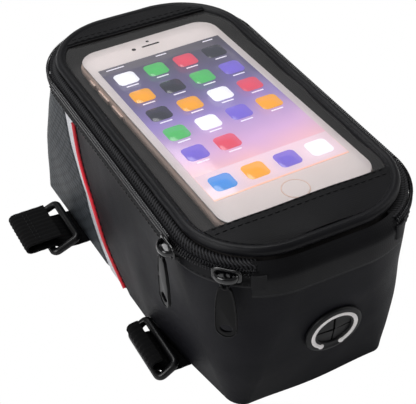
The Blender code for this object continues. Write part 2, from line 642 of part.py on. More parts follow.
def build_port(front, lining):
    """Rubber earphone port on the port face: grommet, slit membrane and the pale mark."""
    t = 1.0 - PORT_HEIGHT / BODY_HEIGHT
    reach = wall_point(1.0, t, 0.0)[0]
    u = (PORT_X / reach + 1.0) / 2.0
    centre = Vector(wall_point(u, t, 0.0))
    up = (Vector(wall_point(u, t - 0.1, 0.0)) - Vector(wall_point(u, t + 0.1, 0.0))).normalized()
    across = Vector((1.0, 0.0, 0.0))
    out = across.cross(up).normalized()

    def frame(a, b, height):
        return tuple(centre + across * a + up * b + out * height)

    seat = 2 * GAP
    face = seat + PORT_FLANGE
    grommet_depth = WALL + LINING + WALL_SWELL
    turned("port_grommet", "rubber", [
        (PORT_BORE, -grommet_depth), (PORT_NECK, -grommet_depth), (PORT_NECK, seat), (PORT_RADIUS, seat),
        (PORT_RADIUS, face - PORT_EDGE), (PORT_RADIUS - PORT_EDGE, face), (PORT_BORE, face)], frame)
    middle_hole, outer_edge = SLIT_WIDTH * 0.65, PORT_BORE - GAP
    membrane = turned("port_membrane", "rubber", [
        (middle_hole, -MEMBRANE_HALF), (outer_edge, -MEMBRANE_HALF), (outer_edge, MEMBRANE_HALF),
        (middle_hole, MEMBRANE_HALF)], frame, steps=28)
    slit = PORT_BORE - SLIT_SHORT
    for name, half_a, half_b in (("slit_level", slit, SLIT_WIDTH / 2), ("slit_upright", SLIT_WIDTH / 2, slit)):
        corners = ((-half_a, -half_b), (half_a, -half_b), (half_a, half_b), (-half_a, half_b))
        box = [[frame(a, b, h) for a, b in corners]
               for h in (-2 * MEMBRANE_HALF, 2 * MEMBRANE_HALF)]
        points, faces = skin(box, False, True)
        cut_away(membrane, add_mesh(name, "rubber", points, faces))
    turned("port_mark", "port_mark", [
        (PORT_BORE + GAP, face + GAP), (PORT_BORE + GAP + MARK_WIDTH, face + GAP),
        (PORT_BORE + GAP + MARK_WIDTH, face + 2.5 * GAP), (PORT_BORE + GAP, face + 2.5 * GAP)],
        frame, MARK_FIRST, MARK_LAST, 28)
    neck_radius = PORT_NECK + GAP
    within, beyond = -5 * WALL, 2.5 * WALL
    for piece in (front, lining):
        bore = turned(piece.name + "_port_bore", "rubber",
                      [(0.0, within), (neck_radius, within), (neck_radius, beyond), (0.0, beyond)], frame)
        cut_away(piece, bore)


def band(name, slot, path, thick, middle_y, width):
    """A flat strap: a path of (x, z) points thickened, as wide as width along Y."""
    over, below = [], []
    for k, (x, z) in enumerate(path):
        before = path[max(k - 1, 0)]
        after = path[min(k + 1, len(path) - 1)]
        dx, dz = after[0] - before[0], after[1] - before[1]
        size = hypot(dx, dz)
        over.append((x - dz / size * thick / 2, z + dx / size * thick / 2))
        below.append((x + dz / size * thick / 2, z - dx / size * thick / 2))
    section = over + below[::-1]
    rings = [[(x, y, z) for x, z in section] for y in (middle_y - width / 2, middle_y + width / 2)]
    points, faces = skin(rings, False, True)
    return add_mesh(name, slot, points, faces)


def build_straps():
    """Hook-and-loop straps under the base: each runs through a plastic ring and ends in a folded loop."""
    level = BASE_Z - GAP - STRAP_THICK / 2
    ground = level - STRAP_THICK / 2
    for side, (middle_y, loop_beyond, ring_beyond, spread) in STRAPS.items():
        left_x, ring_x = -FOOT_HALF_WIDTH - loop_beyond, -FOOT_HALF_WIDTH - ring_beyond
        slope = hypot(2 * spread, RING_RISE)
        bar_reach = RING_BAR / 2 * (2 * spread + RING_RISE) / slope
        low_bar = ground + bar_reach
        high_bar = low_bar + RING_RISE
        lift = low_bar + bar_reach + 2 * GAP + STRAP_THICK / 2
        path = [(STRAP_RIGHT_X, level), (ring_x + spread + 1.0, level), (ring_x + 1.0, level + 0.5)]
        path += [(ring_x - spread + 1.2, lift), (ring_x - spread - 1.2, lift)]
        bend = LOOP_RADIUS
        centre_x, centre_z = left_x + bend + STRAP_THICK / 2, lift + bend
        for k in range(7):
            a = radians(270.0 - 180.0 * k / 6)
            path.append((centre_x + bend * cos(a), centre_z + bend * sin(a)))
        path.append((ring_x - 1.0, centre_z + bend))
        band(side + "_strap", "webbing", path, STRAP_THICK, middle_y, STRAP_WIDTH)
        window = STRAP_WIDTH / 2 + 2 * GAP
        rings = []
        bars = [(ring_x - spread, low_bar), (ring_x + spread, high_bar)]
        dx, dz = bars[1][0] - bars[0][0], bars[1][1] - bars[0][1]
        size = hypot(dx, dz)
        ax, az = dx / size, dz / size
        h = RING_BAR / 2
        for sx, sy in ((0, -1), (1, -1), (1, 1), (0, 1)):
            x, z = bars[sx]
            way = 1 if sx else -1
            y_in, y_out = middle_y + sy * window, middle_y + sy * (window + RING_BAR)
            x_in, z_in = x - way * ax * h, z - way * az * h
            x_out, z_out = x + way * ax * h, z + way * az * h
            rings.append([
                (x_in - az * h, y_in, z_in + ax * h), (x_out - az * h, y_out, z_out + ax * h),
                (x_out + az * h, y_out, z_out - ax * h), (x_in + az * h, y_in, z_in - ax * h)])
        points, faces = skin(rings, True, True)
        add_mesh(side + "_strap_ring", "black_plastic", points, faces)


def main():
    clear_scene()
    front, lining = build_body()
    build_zip()
    build_lid()
    corner = (-TOP_HALF_WIDTH + TOP_RADIUS_NEAR, TOP_NEAR_Y + TOP_RADIUS_NEAR)
    build_slider(1, (-TOP_HALF_WIDTH, SLIDER_1_Y), (-1.0, 0.0), (-TOP_HALF_WIDTH, SLIDER_1_Y, SPLIT_Z))
    a = radians(SLIDER_2_ANGLE)
    build_slider(2, (corner[0] + TOP_RADIUS_NEAR * cos(a), corner[1] + TOP_RADIUS_NEAR * sin(a)),
                 (cos(a), sin(a)), (*corner, SPLIT_Z))
    build_port(front, lining)
    build_straps()


main()
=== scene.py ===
from math import acos, cos, degrees, hypot, pi, radians, sin

import bpy
from mathutils import Matrix, Vector, noise


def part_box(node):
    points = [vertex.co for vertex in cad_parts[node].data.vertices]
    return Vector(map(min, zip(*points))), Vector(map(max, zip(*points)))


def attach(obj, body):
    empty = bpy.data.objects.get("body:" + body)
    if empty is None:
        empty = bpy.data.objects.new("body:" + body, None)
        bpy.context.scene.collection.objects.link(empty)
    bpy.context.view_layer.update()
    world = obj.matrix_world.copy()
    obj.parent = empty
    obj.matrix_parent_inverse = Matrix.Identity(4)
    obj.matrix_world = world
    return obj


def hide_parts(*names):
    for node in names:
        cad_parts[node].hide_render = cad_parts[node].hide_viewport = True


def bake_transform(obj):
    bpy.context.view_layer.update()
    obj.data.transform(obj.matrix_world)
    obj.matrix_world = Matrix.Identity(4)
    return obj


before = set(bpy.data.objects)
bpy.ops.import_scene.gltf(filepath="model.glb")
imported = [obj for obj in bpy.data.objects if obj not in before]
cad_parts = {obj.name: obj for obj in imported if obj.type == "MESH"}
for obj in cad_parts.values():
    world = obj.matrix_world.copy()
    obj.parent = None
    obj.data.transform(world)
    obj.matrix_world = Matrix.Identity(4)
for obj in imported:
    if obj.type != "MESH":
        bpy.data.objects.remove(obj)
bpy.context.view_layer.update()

MM = 0.001
WHOLE = 8.0                     # outline values once round the bag

# Sizes of the bag in mm, as the frame has them
CORNER_NEAR, CORNER_FAR = 34.0, 36.0
WALL_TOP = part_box("front_panel")[1].z / MM
WALL_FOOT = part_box("front_panel")[0].z / MM
HALF_WIDTH = 47.0
NEAR_Y, FAR_Y = -92.0, 94.0
FOOT_HALF_WIDTH, FOOT_NOSE_HALF_WIDTH, FOOT_TAIL_HALF_WIDTH = 44.0, 34.0, 47.5
FOOT_NEAR_Y, FOOT_FAR_Y, FOOT_TAPER_FROM_Y = -80.0, 96.0, -22.0
FOOT_CORNER_NEAR, FOOT_CORNER_FAR = 7.0, 8.0
FOOT_SAG = 1.6                  # the port-end face's lower edge hangs this far below the others
WALL_SWELL = 1.2
LID_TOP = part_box("lid_binding")[1].z / MM
BINDING_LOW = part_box("lid_binding")[0].z / MM
PIPING_TOP_Y, PIPING_FOOT_Y, PIPING_BOW, PIPING_WIDTH = 37.8, 2.0, 6.8, 2.2
STRIP_TOP_WIDTH, STRIP_MIDDLE_WIDTH, STRIP_FOOT_WIDTH = 9.0, 4.5, 15.0
ZIP_LEFT_END, ZIP_RIGHT_END = -29.0, 27.0
REAR_RIGHT_SEAM, REAR_LEFT_SEAM = 3.5, 5.5      # outline values of the rear panel's two seams
BINDING_INSET, BINDING_WIDTH = 3.3, 4.7
PHONE_WIDTH, PHONE_LENGTH, SCREEN_WIDTH, SCREEN_LENGTH = 67.0, 138.0, 58.5, 104.0
MARK_RADIUS = 9.3
PORT_HOLE = 9.3                 # radius of the hole behind the rubber port
FILM_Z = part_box("window_film")[1].z / MM
FRONT_EDGE_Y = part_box("front_band")[1].y / MM
REAR_EDGE_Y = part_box("rear_band")[0].y / MM
PHONE_TURN = radians(1.5)       # the phone lies a little askew in its pocket


# Small tools

def deselect():
    """Take every object out of the selection."""
    for obj in bpy.context.selected_objects:
        obj.select_set(False)


def pick(obj):
    """Make an object the only selected one, and the active one."""
    deselect()
    obj.select_set(True)
    bpy.context.view_layer.objects.active = obj


def finish_piece(obj, name, body, look, smooth=40.0):
    """Name a finished piece, put its place into its mesh, and let it ride."""
    obj.name = name
    obj.data.name = name
    obj.data.materials.clear()
    obj.data.materials.append(look)
    pick(obj)
    bpy.ops.object.transform_apply(location=True, rotation=True, scale=True)
    bpy.ops.object.shade_smooth_by_angle(angle=radians(smooth))
    if body:
        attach(obj, body)


def apply_modifiers(obj):
    """Put all modifiers of an object into its mesh, in their order."""
    pick(obj)
    for modifier in list(obj.modifiers):
        bpy.ops.object.modifier_apply(modifier=modifier.name)


def thicken(obj, thick, offset=0.0):
    """Give a sheet a thickness in mm, to both sides of it, or with offset -1 to its inner side."""
    solid = obj.modifiers.new("thickness", "SOLIDIFY")
    solid.thickness, solid.offset = thick * MM, offset
    apply_modifiers(obj)


def shaped_grid(columns, rows, place, size=(1.0, 1.0), merge=False):
    """A grid primitive whose points are moved to place(u, v), in mm, with a UV map in metres of cloth."""
    deselect()
    bpy.ops.mesh.primitive_grid_add(x_subdivisions=columns, y_subdivisions=rows, size=2.0)
    obj = bpy.context.object
    mesh = obj.data
    layer = mesh.uv_layers.active or mesh.uv_layers.new(name="UVMap")
    share = [((v.co.x + 1) / 2, (v.co.y + 1) / 2) for v in mesh.vertices]
    for loop in mesh.loops:
        u, v = share[loop.vertex_index]
        layer.data[loop.index].uv = (u * size[0] * MM, v * size[1] * MM)
    for vert, (u, v) in zip(mesh.vertices, share):
        x, y, z = place(u, v)
        vert.co = (x * MM, y * MM, z * MM)
    if merge:
        bpy.ops.object.mode_set(mode="EDIT")
        bpy.ops.mesh.select_all(action="SELECT")
        bpy.ops.mesh.remove_doubles(threshold=0.000002)
        bpy.ops.object.mode_set(mode="OBJECT")
    return obj


def close_ends():
    """Close the open ends of the active object, a tube or a strip of thick tape."""
    bpy.ops.object.mode_set(mode="EDIT")
    bpy.ops.mesh.select_all(action="DESELECT")
    bpy.ops.mesh.select_non_manifold()
    bpy.ops.mesh.edge_face_add()
    bpy.ops.object.mode_set(mode="OBJECT")


def close_normals(obj):
    """Turn all faces of an object outwards."""
    pick(obj)
    bpy.ops.object.mode_set(mode="EDIT")
    bpy.ops.mesh.select_all(action="SELECT")
    bpy.ops.mesh.normals_make_consistent(inside=False)
    bpy.ops.object.mode_set(mode="OBJECT")


def tube(points, radius, sides=8, closed=False, squash=1.0):
    """A round tube along points in mm, capped at its ends. squash flattens it across the level direction."""
    path = [Vector(p) for p in points]
    count = len(path)
    frames = []
    for k, p in enumerate(path):
        if closed:
            along = path[(k + 1) % count] - path[k - 1]
        else:
            along = path[min(k + 1, count - 1)] - path[max(k - 1, 0)]
        along.normalize()
        side = along.cross(Vector((0, 0, 1)))
        side = side.normalized() if side.length > 0.05 else along.orthogonal().normalized()
        frames.append((p, side, side.cross(along).normalized()))
    ends = 0 if closed else 1
    rows = count if closed else count - 1

    def place(u, v):
        k = round(u * (rows + 2 * ends))
        reach = 0.0 if ends and k in (0, rows + 2) else radius
        k = min(max(k - ends, 0), count - 1) if ends else k % count
        p, side, up = frames[k]
        a = 2 * pi * v
        q = p + side * (cos(a) * reach) + up * (sin(a) * reach * squash)
        return (q.x, q.y, q.z)

    obj = shaped_grid(rows + 2 * ends, sides, place, merge=True)
    close_normals(obj)
    return obj


def turned_to(x, y, z):
    """The rotation that takes the three axes to three directions."""
    return Matrix((x, y, z)).transposed().to_4x4()


def steps(first, last, count):
    """The values that divide the way from first to last into count even steps, both ends included."""
    return [first + (last - first) * k / count for k in range(count + 1)]


def lengths_along(path):
    """The distance along a path at each of its points."""
    run = [0.0]
    for a, b in zip(path, path[1:]):
        run.append(run[-1] + (b - a).length)
    return run


def joined(objects):
    """One object made from several."""
    deselect()
    for obj in objects:
        obj.select_set(True)
    bpy.context.view_layer.objects.active = objects[0]
    bpy.ops.object.join()
    return bpy.context.object


def copies(master, places):
    """Many copies of one small mesh as one object: each place is a matrix in mm."""
    points, faces = [], []
    base = [v.co.copy() for v in master.data.vertices]
    polygons = [tuple(p.vertices) for p in master.data.polygons]
    for place in places:
        start = len(points)
        points += [tuple((place @ p) * MM) for p in base]
        faces += [tuple(start + k for k in polygon) for polygon in polygons]
    mesh = bpy.data.meshes.new("copies")
    mesh.from_pydata(points, [], faces)
    bpy.data.objects.remove(master, do_unlink=True)
    obj = bpy.data.objects.new("copies", mesh)
    bpy.context.scene.collection.objects.link(obj)
    return obj


# Outlines

def outline(u, half_width, near_y, far_y, rn, rf):
    """Point and outward direction on a rounded rectangle with the corner radii rn (near) and rf (far).

    u runs anticlockwise through 8 stretches: 0 to 1 is the near side, and odd stretches are corners."""
    u = u % WHOLE
    stretch = int(u)
    share = u - stretch
    corners = {
        1: (half_width - rn, near_y + rn, rn, -90.0), 3: (half_width - rf, far_y - rf, rf, 0.0),
        5: (-half_width + rf, far_y - rf, rf, 90.0), 7: (-half_width + rn, near_y + rn, rn, 180.0),
    }
    if stretch in corners:
        cx, cy, r, start = corners[stretch]
        a = radians(start + 90.0 * share)
        return (cx + r * cos(a), cy + r * sin(a)), (cos(a), sin(a))
    if stretch == 0:
        return ((half_width - rn) * (2 * share - 1), near_y), (0.0, -1.0)
    if stretch == 2:
        return (half_width, (near_y + rn) * (1 - share) + (far_y - rf) * share), (1.0, 0.0)
    if stretch == 4:
        return ((half_width - rf) * (1 - 2 * share), far_y), (0.0, 1.0)
    return (-half_width, (far_y - rf) * (1 - share) + (near_y + rn) * share), (-1.0, 0.0)


def ring_point(u, out, z):
    """A point at the height z, moved out by out from the lid's outline."""
    (x, y), (nx, ny) = outline(u, HALF_WIDTH, NEAR_Y, FAR_Y, CORNER_NEAR, CORNER_FAR)
    return (x + nx * out, y + ny * out, z)


def even_places(first=0.0, last=WHOLE, step=1.0, out=0.0):
    """Outline values between two places, spaced evenly along the outline moved out by out."""
    fine = 1600     # steps of the first, uneven walk
    values = steps(first, last, fine)
    points = [ring_point(u, out, 0.0) for u in values]
    run = [0.0]
    for a, b in zip(points, points[1:]):
        run.append(run[-1] + hypot(b[0] - a[0], b[1] - a[1]))
    count = max(1, round(run[-1] / step))
    found, k = [], 0
    for n in range(count + 1):
        target = run[-1] * n / count
        while k < fine - 1 and run[k + 1] < target:
            k += 1
        share = (target - run[k]) / max(run[k + 1] - run[k], 1e-9)
        found.append(values[k] + (values[k + 1] - values[k]) * share)
    return found, run[-1]


def foot_outline(u):
    """The walls' foot: it narrows from FOOT_TAPER_FROM_Y to the near end and widens to the far end."""
    (x, y), normal = outline(u, FOOT_HALF_WIDTH, FOOT_NEAR_Y, FOOT_FAR_Y, FOOT_CORNER_NEAR, FOOT_CORNER_FAR)
    if y < FOOT_TAPER_FROM_Y:
        end_y, end_width = FOOT_NEAR_Y, FOOT_NOSE_HALF_WIDTH
    else:
        end_y, end_width = FOOT_FAR_Y, FOOT_TAIL_HALF_WIDTH
    share = (y - FOOT_TAPER_FROM_Y) / (end_y - FOOT_TAPER_FROM_Y)
    return (x * (1.0 + (end_width / FOOT_HALF_WIDTH - 1.0) * share), y), normal


def wall_point(u, t):
    """A point of the body's wall: t is 0 at the top edge and 1 at the foot."""
    (x0, y0), (nx0, ny0) = outline(u, HALF_WIDTH, NEAR_Y, FAR_Y, CORNER_NEAR, CORNER_FAR)
    (x1, y1), (nx1, ny1) = foot_outline(u)
    nx, ny = nx0 * (1 - t) + nx1 * t, ny0 * (1 - t) + ny1 * t
    size = hypot(nx, ny)
    out = WALL_SWELL * sin(pi * t)
    x, y = x0 * (1 - t) + x1 * t, y0 * (1 - t) + y1 * t
    return (x + nx / size * out, y + ny / size * out, WALL_TOP + (WALL_FOOT - WALL_TOP) * t)


def side_u(y, t, left):
    """The outline value of a place along Y on the left or right wall, at the height t."""
    low = (NEAR_Y + CORNER_NEAR) * (1 - t) + (FOOT_NEAR_Y + FOOT_CORNER_NEAR) * t
    high = (FAR_Y - CORNER_FAR) * (1 - t) + (FOOT_FAR_Y - FOOT_CORNER_FAR) * t
    share = (y - low) / (high - low)
    return 7.0 - share if left else 2.0 + share


def near_u(x):
    """The outline value of a place across X on the near end or its corners."""
    flat = HALF_WIDTH - CORNER_NEAR
    if x > flat:
        return 2.0 - degrees(acos((x - flat) / CORNER_NEAR)) / 90.0
    if x < -flat:
        return 7.0 + degrees(acos((-x - flat) / CORNER_NEAR)) / 90.0
    return (x / flat + 1.0) / 2.0


def piping_y(t):
    """The side seam leans towards the near end and bows outwards at half height."""
    return PIPING_TOP_Y * (1 - t) + PIPING_FOOT_Y * t + PIPING_BOW * sin(pi * t)


def strip_y(t):
    """The far edge of the reflective strip, which is narrowest at half height."""
    end_width = STRIP_TOP_WIDTH if t < 0.5 else STRIP_FOOT_WIDTH
    share = abs(2 * t - 1)
    return piping_y(t) + PIPING_WIDTH + STRIP_MIDDLE_WIDTH * (1 - share) + end_width * share


# Materials

def linear(hex_colour):
    """An sRGB hex colour as linear RGBA."""
    channels = [int(hex_colour[k:k + 2], 16) / 255 for k in (1, 3, 5)]
    return (*[c / 12.92 if c <= 0.04045 else ((c + 0.055) / 1.055) ** 2.4 for c in channels], 1.0)


def add(tree, kind, settings=(), **links):
    """Add a node, set its properties and sockets, and link its inputs. i0 links to socket number 0."""
    node = tree.nodes.new(kind)
    for key, value in dict(settings).items():
        if isinstance(key, str) and hasattr(node, key):
            setattr(node, key, value)
        else:
            node.inputs[key].default_value = value
    for key, source in links.items():
        numbered = key[0] == "i" and key[1:].isdigit()
        tree.links.new(source, node.inputs[int(key[1:]) if numbered else key.replace("_", " ")])
    return node


def new_look(name, colour, roughness, **sockets):
    """A material with its Principled shader set. Returns the material, its tree and its shader."""
    look = bpy.data.materials.new(name)
    look.use_nodes = True
    tree = look.node_tree
    shader = tree.nodes["Principled BSDF"]
    shader.inputs["Base Color"].default_value = linear(colour)
    shader.inputs["Roughness"].default_value = roughness
    for key, value in sockets.items():
        shader.inputs[key.replace("_", " ")].default_value = value
    return look, tree, shader


def place_of(tree, space="Object"):
    """The texture coordinates of a point of the surface."""
    return add(tree, "ShaderNodeTexCoord").outputs[space]


def colour_spread(tree, shader, source, dark, light, low=0.3, high=0.7):
    """Drive the base colour between two hex colours with a value from 0 to 1."""
    ramp = add(tree, "ShaderNodeValToRGB", Fac=source)
    ramp.color_ramp.elements[0].position = low
    ramp.color_ramp.elements[0].color = linear(dark)
    ramp.color_ramp.elements[1].position = high
    ramp.color_ramp.elements[1].color = linear(light)
    tree.links.new(ramp.outputs["Color"], shader.inputs["Base Color"])


def relief(tree, shader, height, distance, strength=1.0, under=None):
    """Bump from a height value; distance is the real depth in metres."""
    bump = add(tree, "ShaderNodeBump", {"Strength": strength, "Distance": distance}, Height=height)
    if under:
        tree.links.new(under, bump.inputs["Normal"])
    tree.links.new(bump.outputs["Normal"], shader.inputs["Normal"])
    return bump.outputs["Normal"]


def wave_scale(pitch_mm):
    """The wave texture's scale that gives one band every pitch_mm."""
    return 2 * pi / (pitch_mm * MM) / 20


def woven(name, dark, light, roughness, thread_mm, depth_mm, sheen=0.0, crease_depth_mm=0.5, space="UV",
          gloss=0.09):
    """Plain-woven coated cloth: two crossed sets of threads, soft creases and a slight spread of tone."""
    crease_mm, spread = 18.0, 0.07      # length of a crease, and how far the roughness varies
    look, tree, shader = new_look(name, light, roughness, Specular_IOR_Level=gloss, Sheen_Weight=sheen,
                                  Sheen_Roughness=0.4)
    where = place_of(tree, space)
    weave = {"Scale": wave_scale(thread_mm), "Distortion": 0.6, "Detail": 1.0, "Detail Scale": 2.0}
    waves = [add(tree, "ShaderNodeTexWave", {"bands_direction": way, **weave}, Vector=where) for way in "XY"]
    threads = add(tree, "ShaderNodeMath", {"operation": "MAXIMUM"}, i0=waves[0].outputs["Fac"],
                  i1=waves[1].outputs["Fac"])
    body = place_of(tree)
    tone = add(tree, "ShaderNodeTexNoise", {"Scale": 1000 / crease_mm / 2, "Detail": 3.0}, Vector=body)
    crease = add(tree, "ShaderNodeTexNoise", {"Scale": 1000 / crease_mm, "Detail": 2.0, "Roughness": 0.45},
                 Vector=body)
    colour_spread(tree, shader, tone.outputs["Fac"], dark, light)
    fine = relief(tree, shader, threads.outputs[0], depth_mm * MM)
    relief(tree, shader, crease.outputs["Fac"], crease_depth_mm * MM, 1.0, fine)
    rough = add(tree, "ShaderNodeMapRange", {"To Min": roughness - spread, "To Max": roughness + spread},
                Value=tone.outputs["Fac"])
    tree.links.new(rough.outputs[0], shader.inputs["Roughness"])
    return look


# Coated polyester of the side and port-end panels: nearly black, a fine weave under a satin coat.
coated_polyester = woven("coated_polyester", "#0b0b0f", "#121217", 0.5, 0.7, 0.04, sheen=0.005)
# The same cloth sewn as narrow bands and strips, pulled smoother.
band_polyester = woven("band_polyester", "#08080a", "#101013", 0.5, 0.7, 0.04, sheen=0.01,
                       crease_depth_mm=0.25, gloss=0.13)
# Corded binding: coated cloth rolled over a cord, satin.
rolled_binding = woven("rolled_binding", "#0b0b0e", "#131316", 0.42, 0.6, 0.03, sheen=0.01,
                       crease_depth_mm=0.3, gloss=0.16)
# Knitted lining over thin foam: matt, brushed.
brushed_lining = woven("brushed_lining", "#211f1f", "#3a3736", 0.9, 0.9, 0.08, sheen=0.1, space="Object")
# Nylon webbing: dull black with deep ribs, which are in the mesh.
nylon_webbing = woven("nylon_webbing", "#050506", "#0b0b0c", 0.8, 0.5, 0.06, sheen=0.01, crease_depth_mm=0.15)


def ribbed_twill():
    """Zip tape: twill-woven polyester, whose slanted ribs stand every 1.3 mm along the tape."""
    look, tree, shader = new_look("twill_tape", "#141416", 0.55, Specular_IOR_Level=0.2)
    where = place_of(tree, "UV")
    slant = add(tree, "ShaderNodeMapping", {"Rotation": (0.0, 0.0, radians(32.0))}, Vector=where)
    rib = add(tree, "ShaderNodeTexWave", {"Scale": wave_scale(1.3), "Distortion": 0.3},
              Vector=slant.outputs["Vector"])
    # Painted shade and highlight: the rib grooves are coloured near black and the rib crests grey.
    colour_spread(tree, shader, rib.outputs["Fac"], "#050506", "#303033", 0.25, 0.85)
    relief(tree, shader, rib.outputs["Fac"], 0.25 * MM)
    return look


def checked_ripstop():
    """Ripstop: dark grey coated cloth with a raised check of thicker threads about every 4 mm."""
    look, tree, shader = new_look("checked_ripstop", "#4b4e52", 0.5, Specular_IOR_Level=0.12)
    where = place_of(tree, "UV")
    brick = add(tree, "ShaderNodeTexBrick", {
        "Scale": 1000 / 10.0, "Mortar Size": 0.05, "Mortar Smooth": 0.5, "Bias": 0.0, "Brick Width": 0.42,
        "Row Height": 0.26, "Color1": linear("#32363a"), "Color2": linear("#3b3f43"),
        "Mortar": linear("#1e2023"),
    }, Vector=where)
    tree.links.new(brick.outputs["Color"], shader.inputs["Base Color"])
    fine = relief(tree, shader, brick.outputs["Fac"], -0.25 * MM, 0.8)
    crease = add(tree, "ShaderNodeTexNoise", {"Scale": 45.0, "Detail": 2.0}, Vector=place_of(tree))
    relief(tree, shader, crease.outputs["Fac"], 0.4 * MM, 1.0, fine)
    return look


def glass_bead_fabric():
    """Reflective strip: pale grey with a fine grain of glass beads, drawn at 0.4 mm so that it shows."""
    look, tree, shader = new_look("glass_bead_fabric", "#b9b9be", 0.42, Metallic=0.15)
    grain = add(tree, "ShaderNodeTexNoise", {"Scale": 1000 / 0.8, "Detail": 2.0}, Vector=place_of(tree))
    colour_spread(tree, shader, grain.outputs["Fac"], "#a9a9ae", "#c6c6ca")
    relief(tree, shader, grain.outputs["Fac"], 0.03 * MM)
    return look


def red_cord_cloth():
    """Red piping: bright woven tape over a cord, with ribs every 0.8 mm."""
    look, tree, shader = new_look("red_cord_cloth", "#d10f26", 0.5, Sheen_Weight=0.1)
    where = place_of(tree, "UV")
    rib = add(tree, "ShaderNodeTexWave", {"Scale": wave_scale(0.8), "Distortion": 0.4}, Vector=where)
    # Painted shade and highlight: the rib grooves are coloured deeper red and the rib crests brighter red.
    colour_spread(tree, shader, rib.outputs["Fac"], "#b80b1f", "#dc142c", 0.1, 0.9)
    relief(tree, shader, rib.outputs["Fac"], 0.06 * MM)
    return look


def plain_look(name, colour, roughness, grain_mm=0.6, grain_depth_mm=0.01, dark=None, **sockets):
    """A moulded or cast surface with a fine grain and a slight spread of tone."""
    look, tree, shader = new_look(name, colour, roughness, **sockets)
    where = place_of(tree)
    grain = add(tree, "ShaderNodeTexNoise", {"Scale": 1000 / grain_mm, "Detail": 2.0}, Vector=where)
    wear = add(tree, "ShaderNodeTexNoise", {"Scale": 1000 / (grain_mm * 12), "Detail": 3.0}, Vector=where)
    colour_spread(tree, shader, wear.outputs["Fac"], dark or colour, colour)
    relief(tree, shader, grain.outputs["Fac"], grain_depth_mm * MM)
    low, high = max(roughness - 0.05, 0.02), roughness + 0.05
    rough = add(tree, "ShaderNodeMapRange", {"To Min": low, "To Max": high}, Value=wear.outputs["Fac"])
    tree.links.new(rough.outputs[0], shader.inputs["Roughness"])
    return look


twill_tape = ribbed_twill()
ripstop = checked_ripstop()
reflective = glass_bead_fabric()
red_piping_look = red_cord_cloth()
# Nylon coil: drawn monofilament, satin black.
nylon_coil = plain_look("nylon_coil", "#212124", 0.26, 1.0, 0.005, "#161618", Specular_IOR_Level=0.45)
# Moulded rubber: soft black, fine texture.
moulded_rubber = plain_look("moulded_rubber", "#0e0e10", 0.48, 0.5, 0.012, "#0a0a0b", Specular_IOR_Level=0.25)
# Pale rubber of the port's mark.
pale_rubber = plain_look("pale_rubber", "#f0eceb", 0.45, 0.6, 0.01, "#e8e3e2")
# Acetal ring: smooth black moulding with a slight gloss.
acetal = plain_look("acetal", "#0a0a0c", 0.3, 1.5, 0.006, "#070708", Specular_IOR_Level=0.3)
# Zinc alloy under black enamel: deep gloss.
black_enamel = plain_look("black_enamel", "#070709", 0.16, 2.0, 0.003, "#050506", Specular_IOR_Level=0.35,
                          Coat_Weight=0.3, Coat_Roughness=0.06)
# The pulls' enamel: as black, with less gloss on the flat of the tab.
pull_enamel = plain_look("pull_enamel", "#050506", 0.3, 2.0, 0.003, "#040405", Specular_IOR_Level=0.1)
# Anodised aluminium, rose gold.
rose_aluminium = plain_look("rose_aluminium", "#fadfd0", 0.42, 0.5, 0.003, "#f5d6c5", Metallic=0.1)
# White glass face of the phone.
white_glass = plain_look("white_glass", "#fbf3f1", 0.12, 3.0, 0.0005, "#f8efec", Coat_Weight=0.5,
                         Coat_Roughness=0.05)
# Sewing thread, black nylon.
black_thread = plain_look("black_thread", "#101012", 0.6, 0.4, 0.02, "#0b0b0d", Specular_IOR_Level=0.2)
# Dark glass of the phone's speaker slot and sensors.
dark_glass = plain_look("dark_glass", "#2a2728", 0.2, 1.0, 0.0005)


def soft_vinyl():
    """Clear film: light passes straight through, with a thin gloss and a little haze."""
    look, tree, shader = new_look("clear_film", "#e8e8ea", 0.5)
    clear = add(tree, "ShaderNodeBsdfTransparent", {"Color": (0.93, 0.93, 0.94, 1.0)})
    gloss = add(tree, "ShaderNodeBsdfGlossy", {"Color": (1.0, 1.0, 1.0, 1.0), "Roughness": 0.09})
    wave = add(tree, "ShaderNodeTexNoise", {"Scale": 60.0, "Detail": 2.0}, Vector=place_of(tree))
    bump = add(tree, "ShaderNodeBump", {"Strength": 0.6, "Distance": 0.2 * MM}, Height=wave.outputs["Fac"])
    tree.links.new(bump.outputs["Normal"], gloss.inputs["Normal"])
    facing = add(tree, "ShaderNodeFresnel", {"IOR": 1.45})
    haze = add(tree, "ShaderNodeMixShader", {0: 0.03}, i1=clear.outputs[0], i2=shader.outputs[0])
    mix = add(tree, "ShaderNodeMixShader", i0=facing.outputs[0], i1=haze.outputs[0], i2=gloss.outputs[0])
    tree.links.new(mix.outputs[0], tree.nodes["Material Output"].inputs["Surface"])
    return look


def lit(name, colour):
    """Part of a lit display under glass: it shines a little by itself and keeps the glass's gloss."""
    return new_look(name, colour, 0.1, Emission_Color=linear(colour), Emission_Strength=0.55)[0]


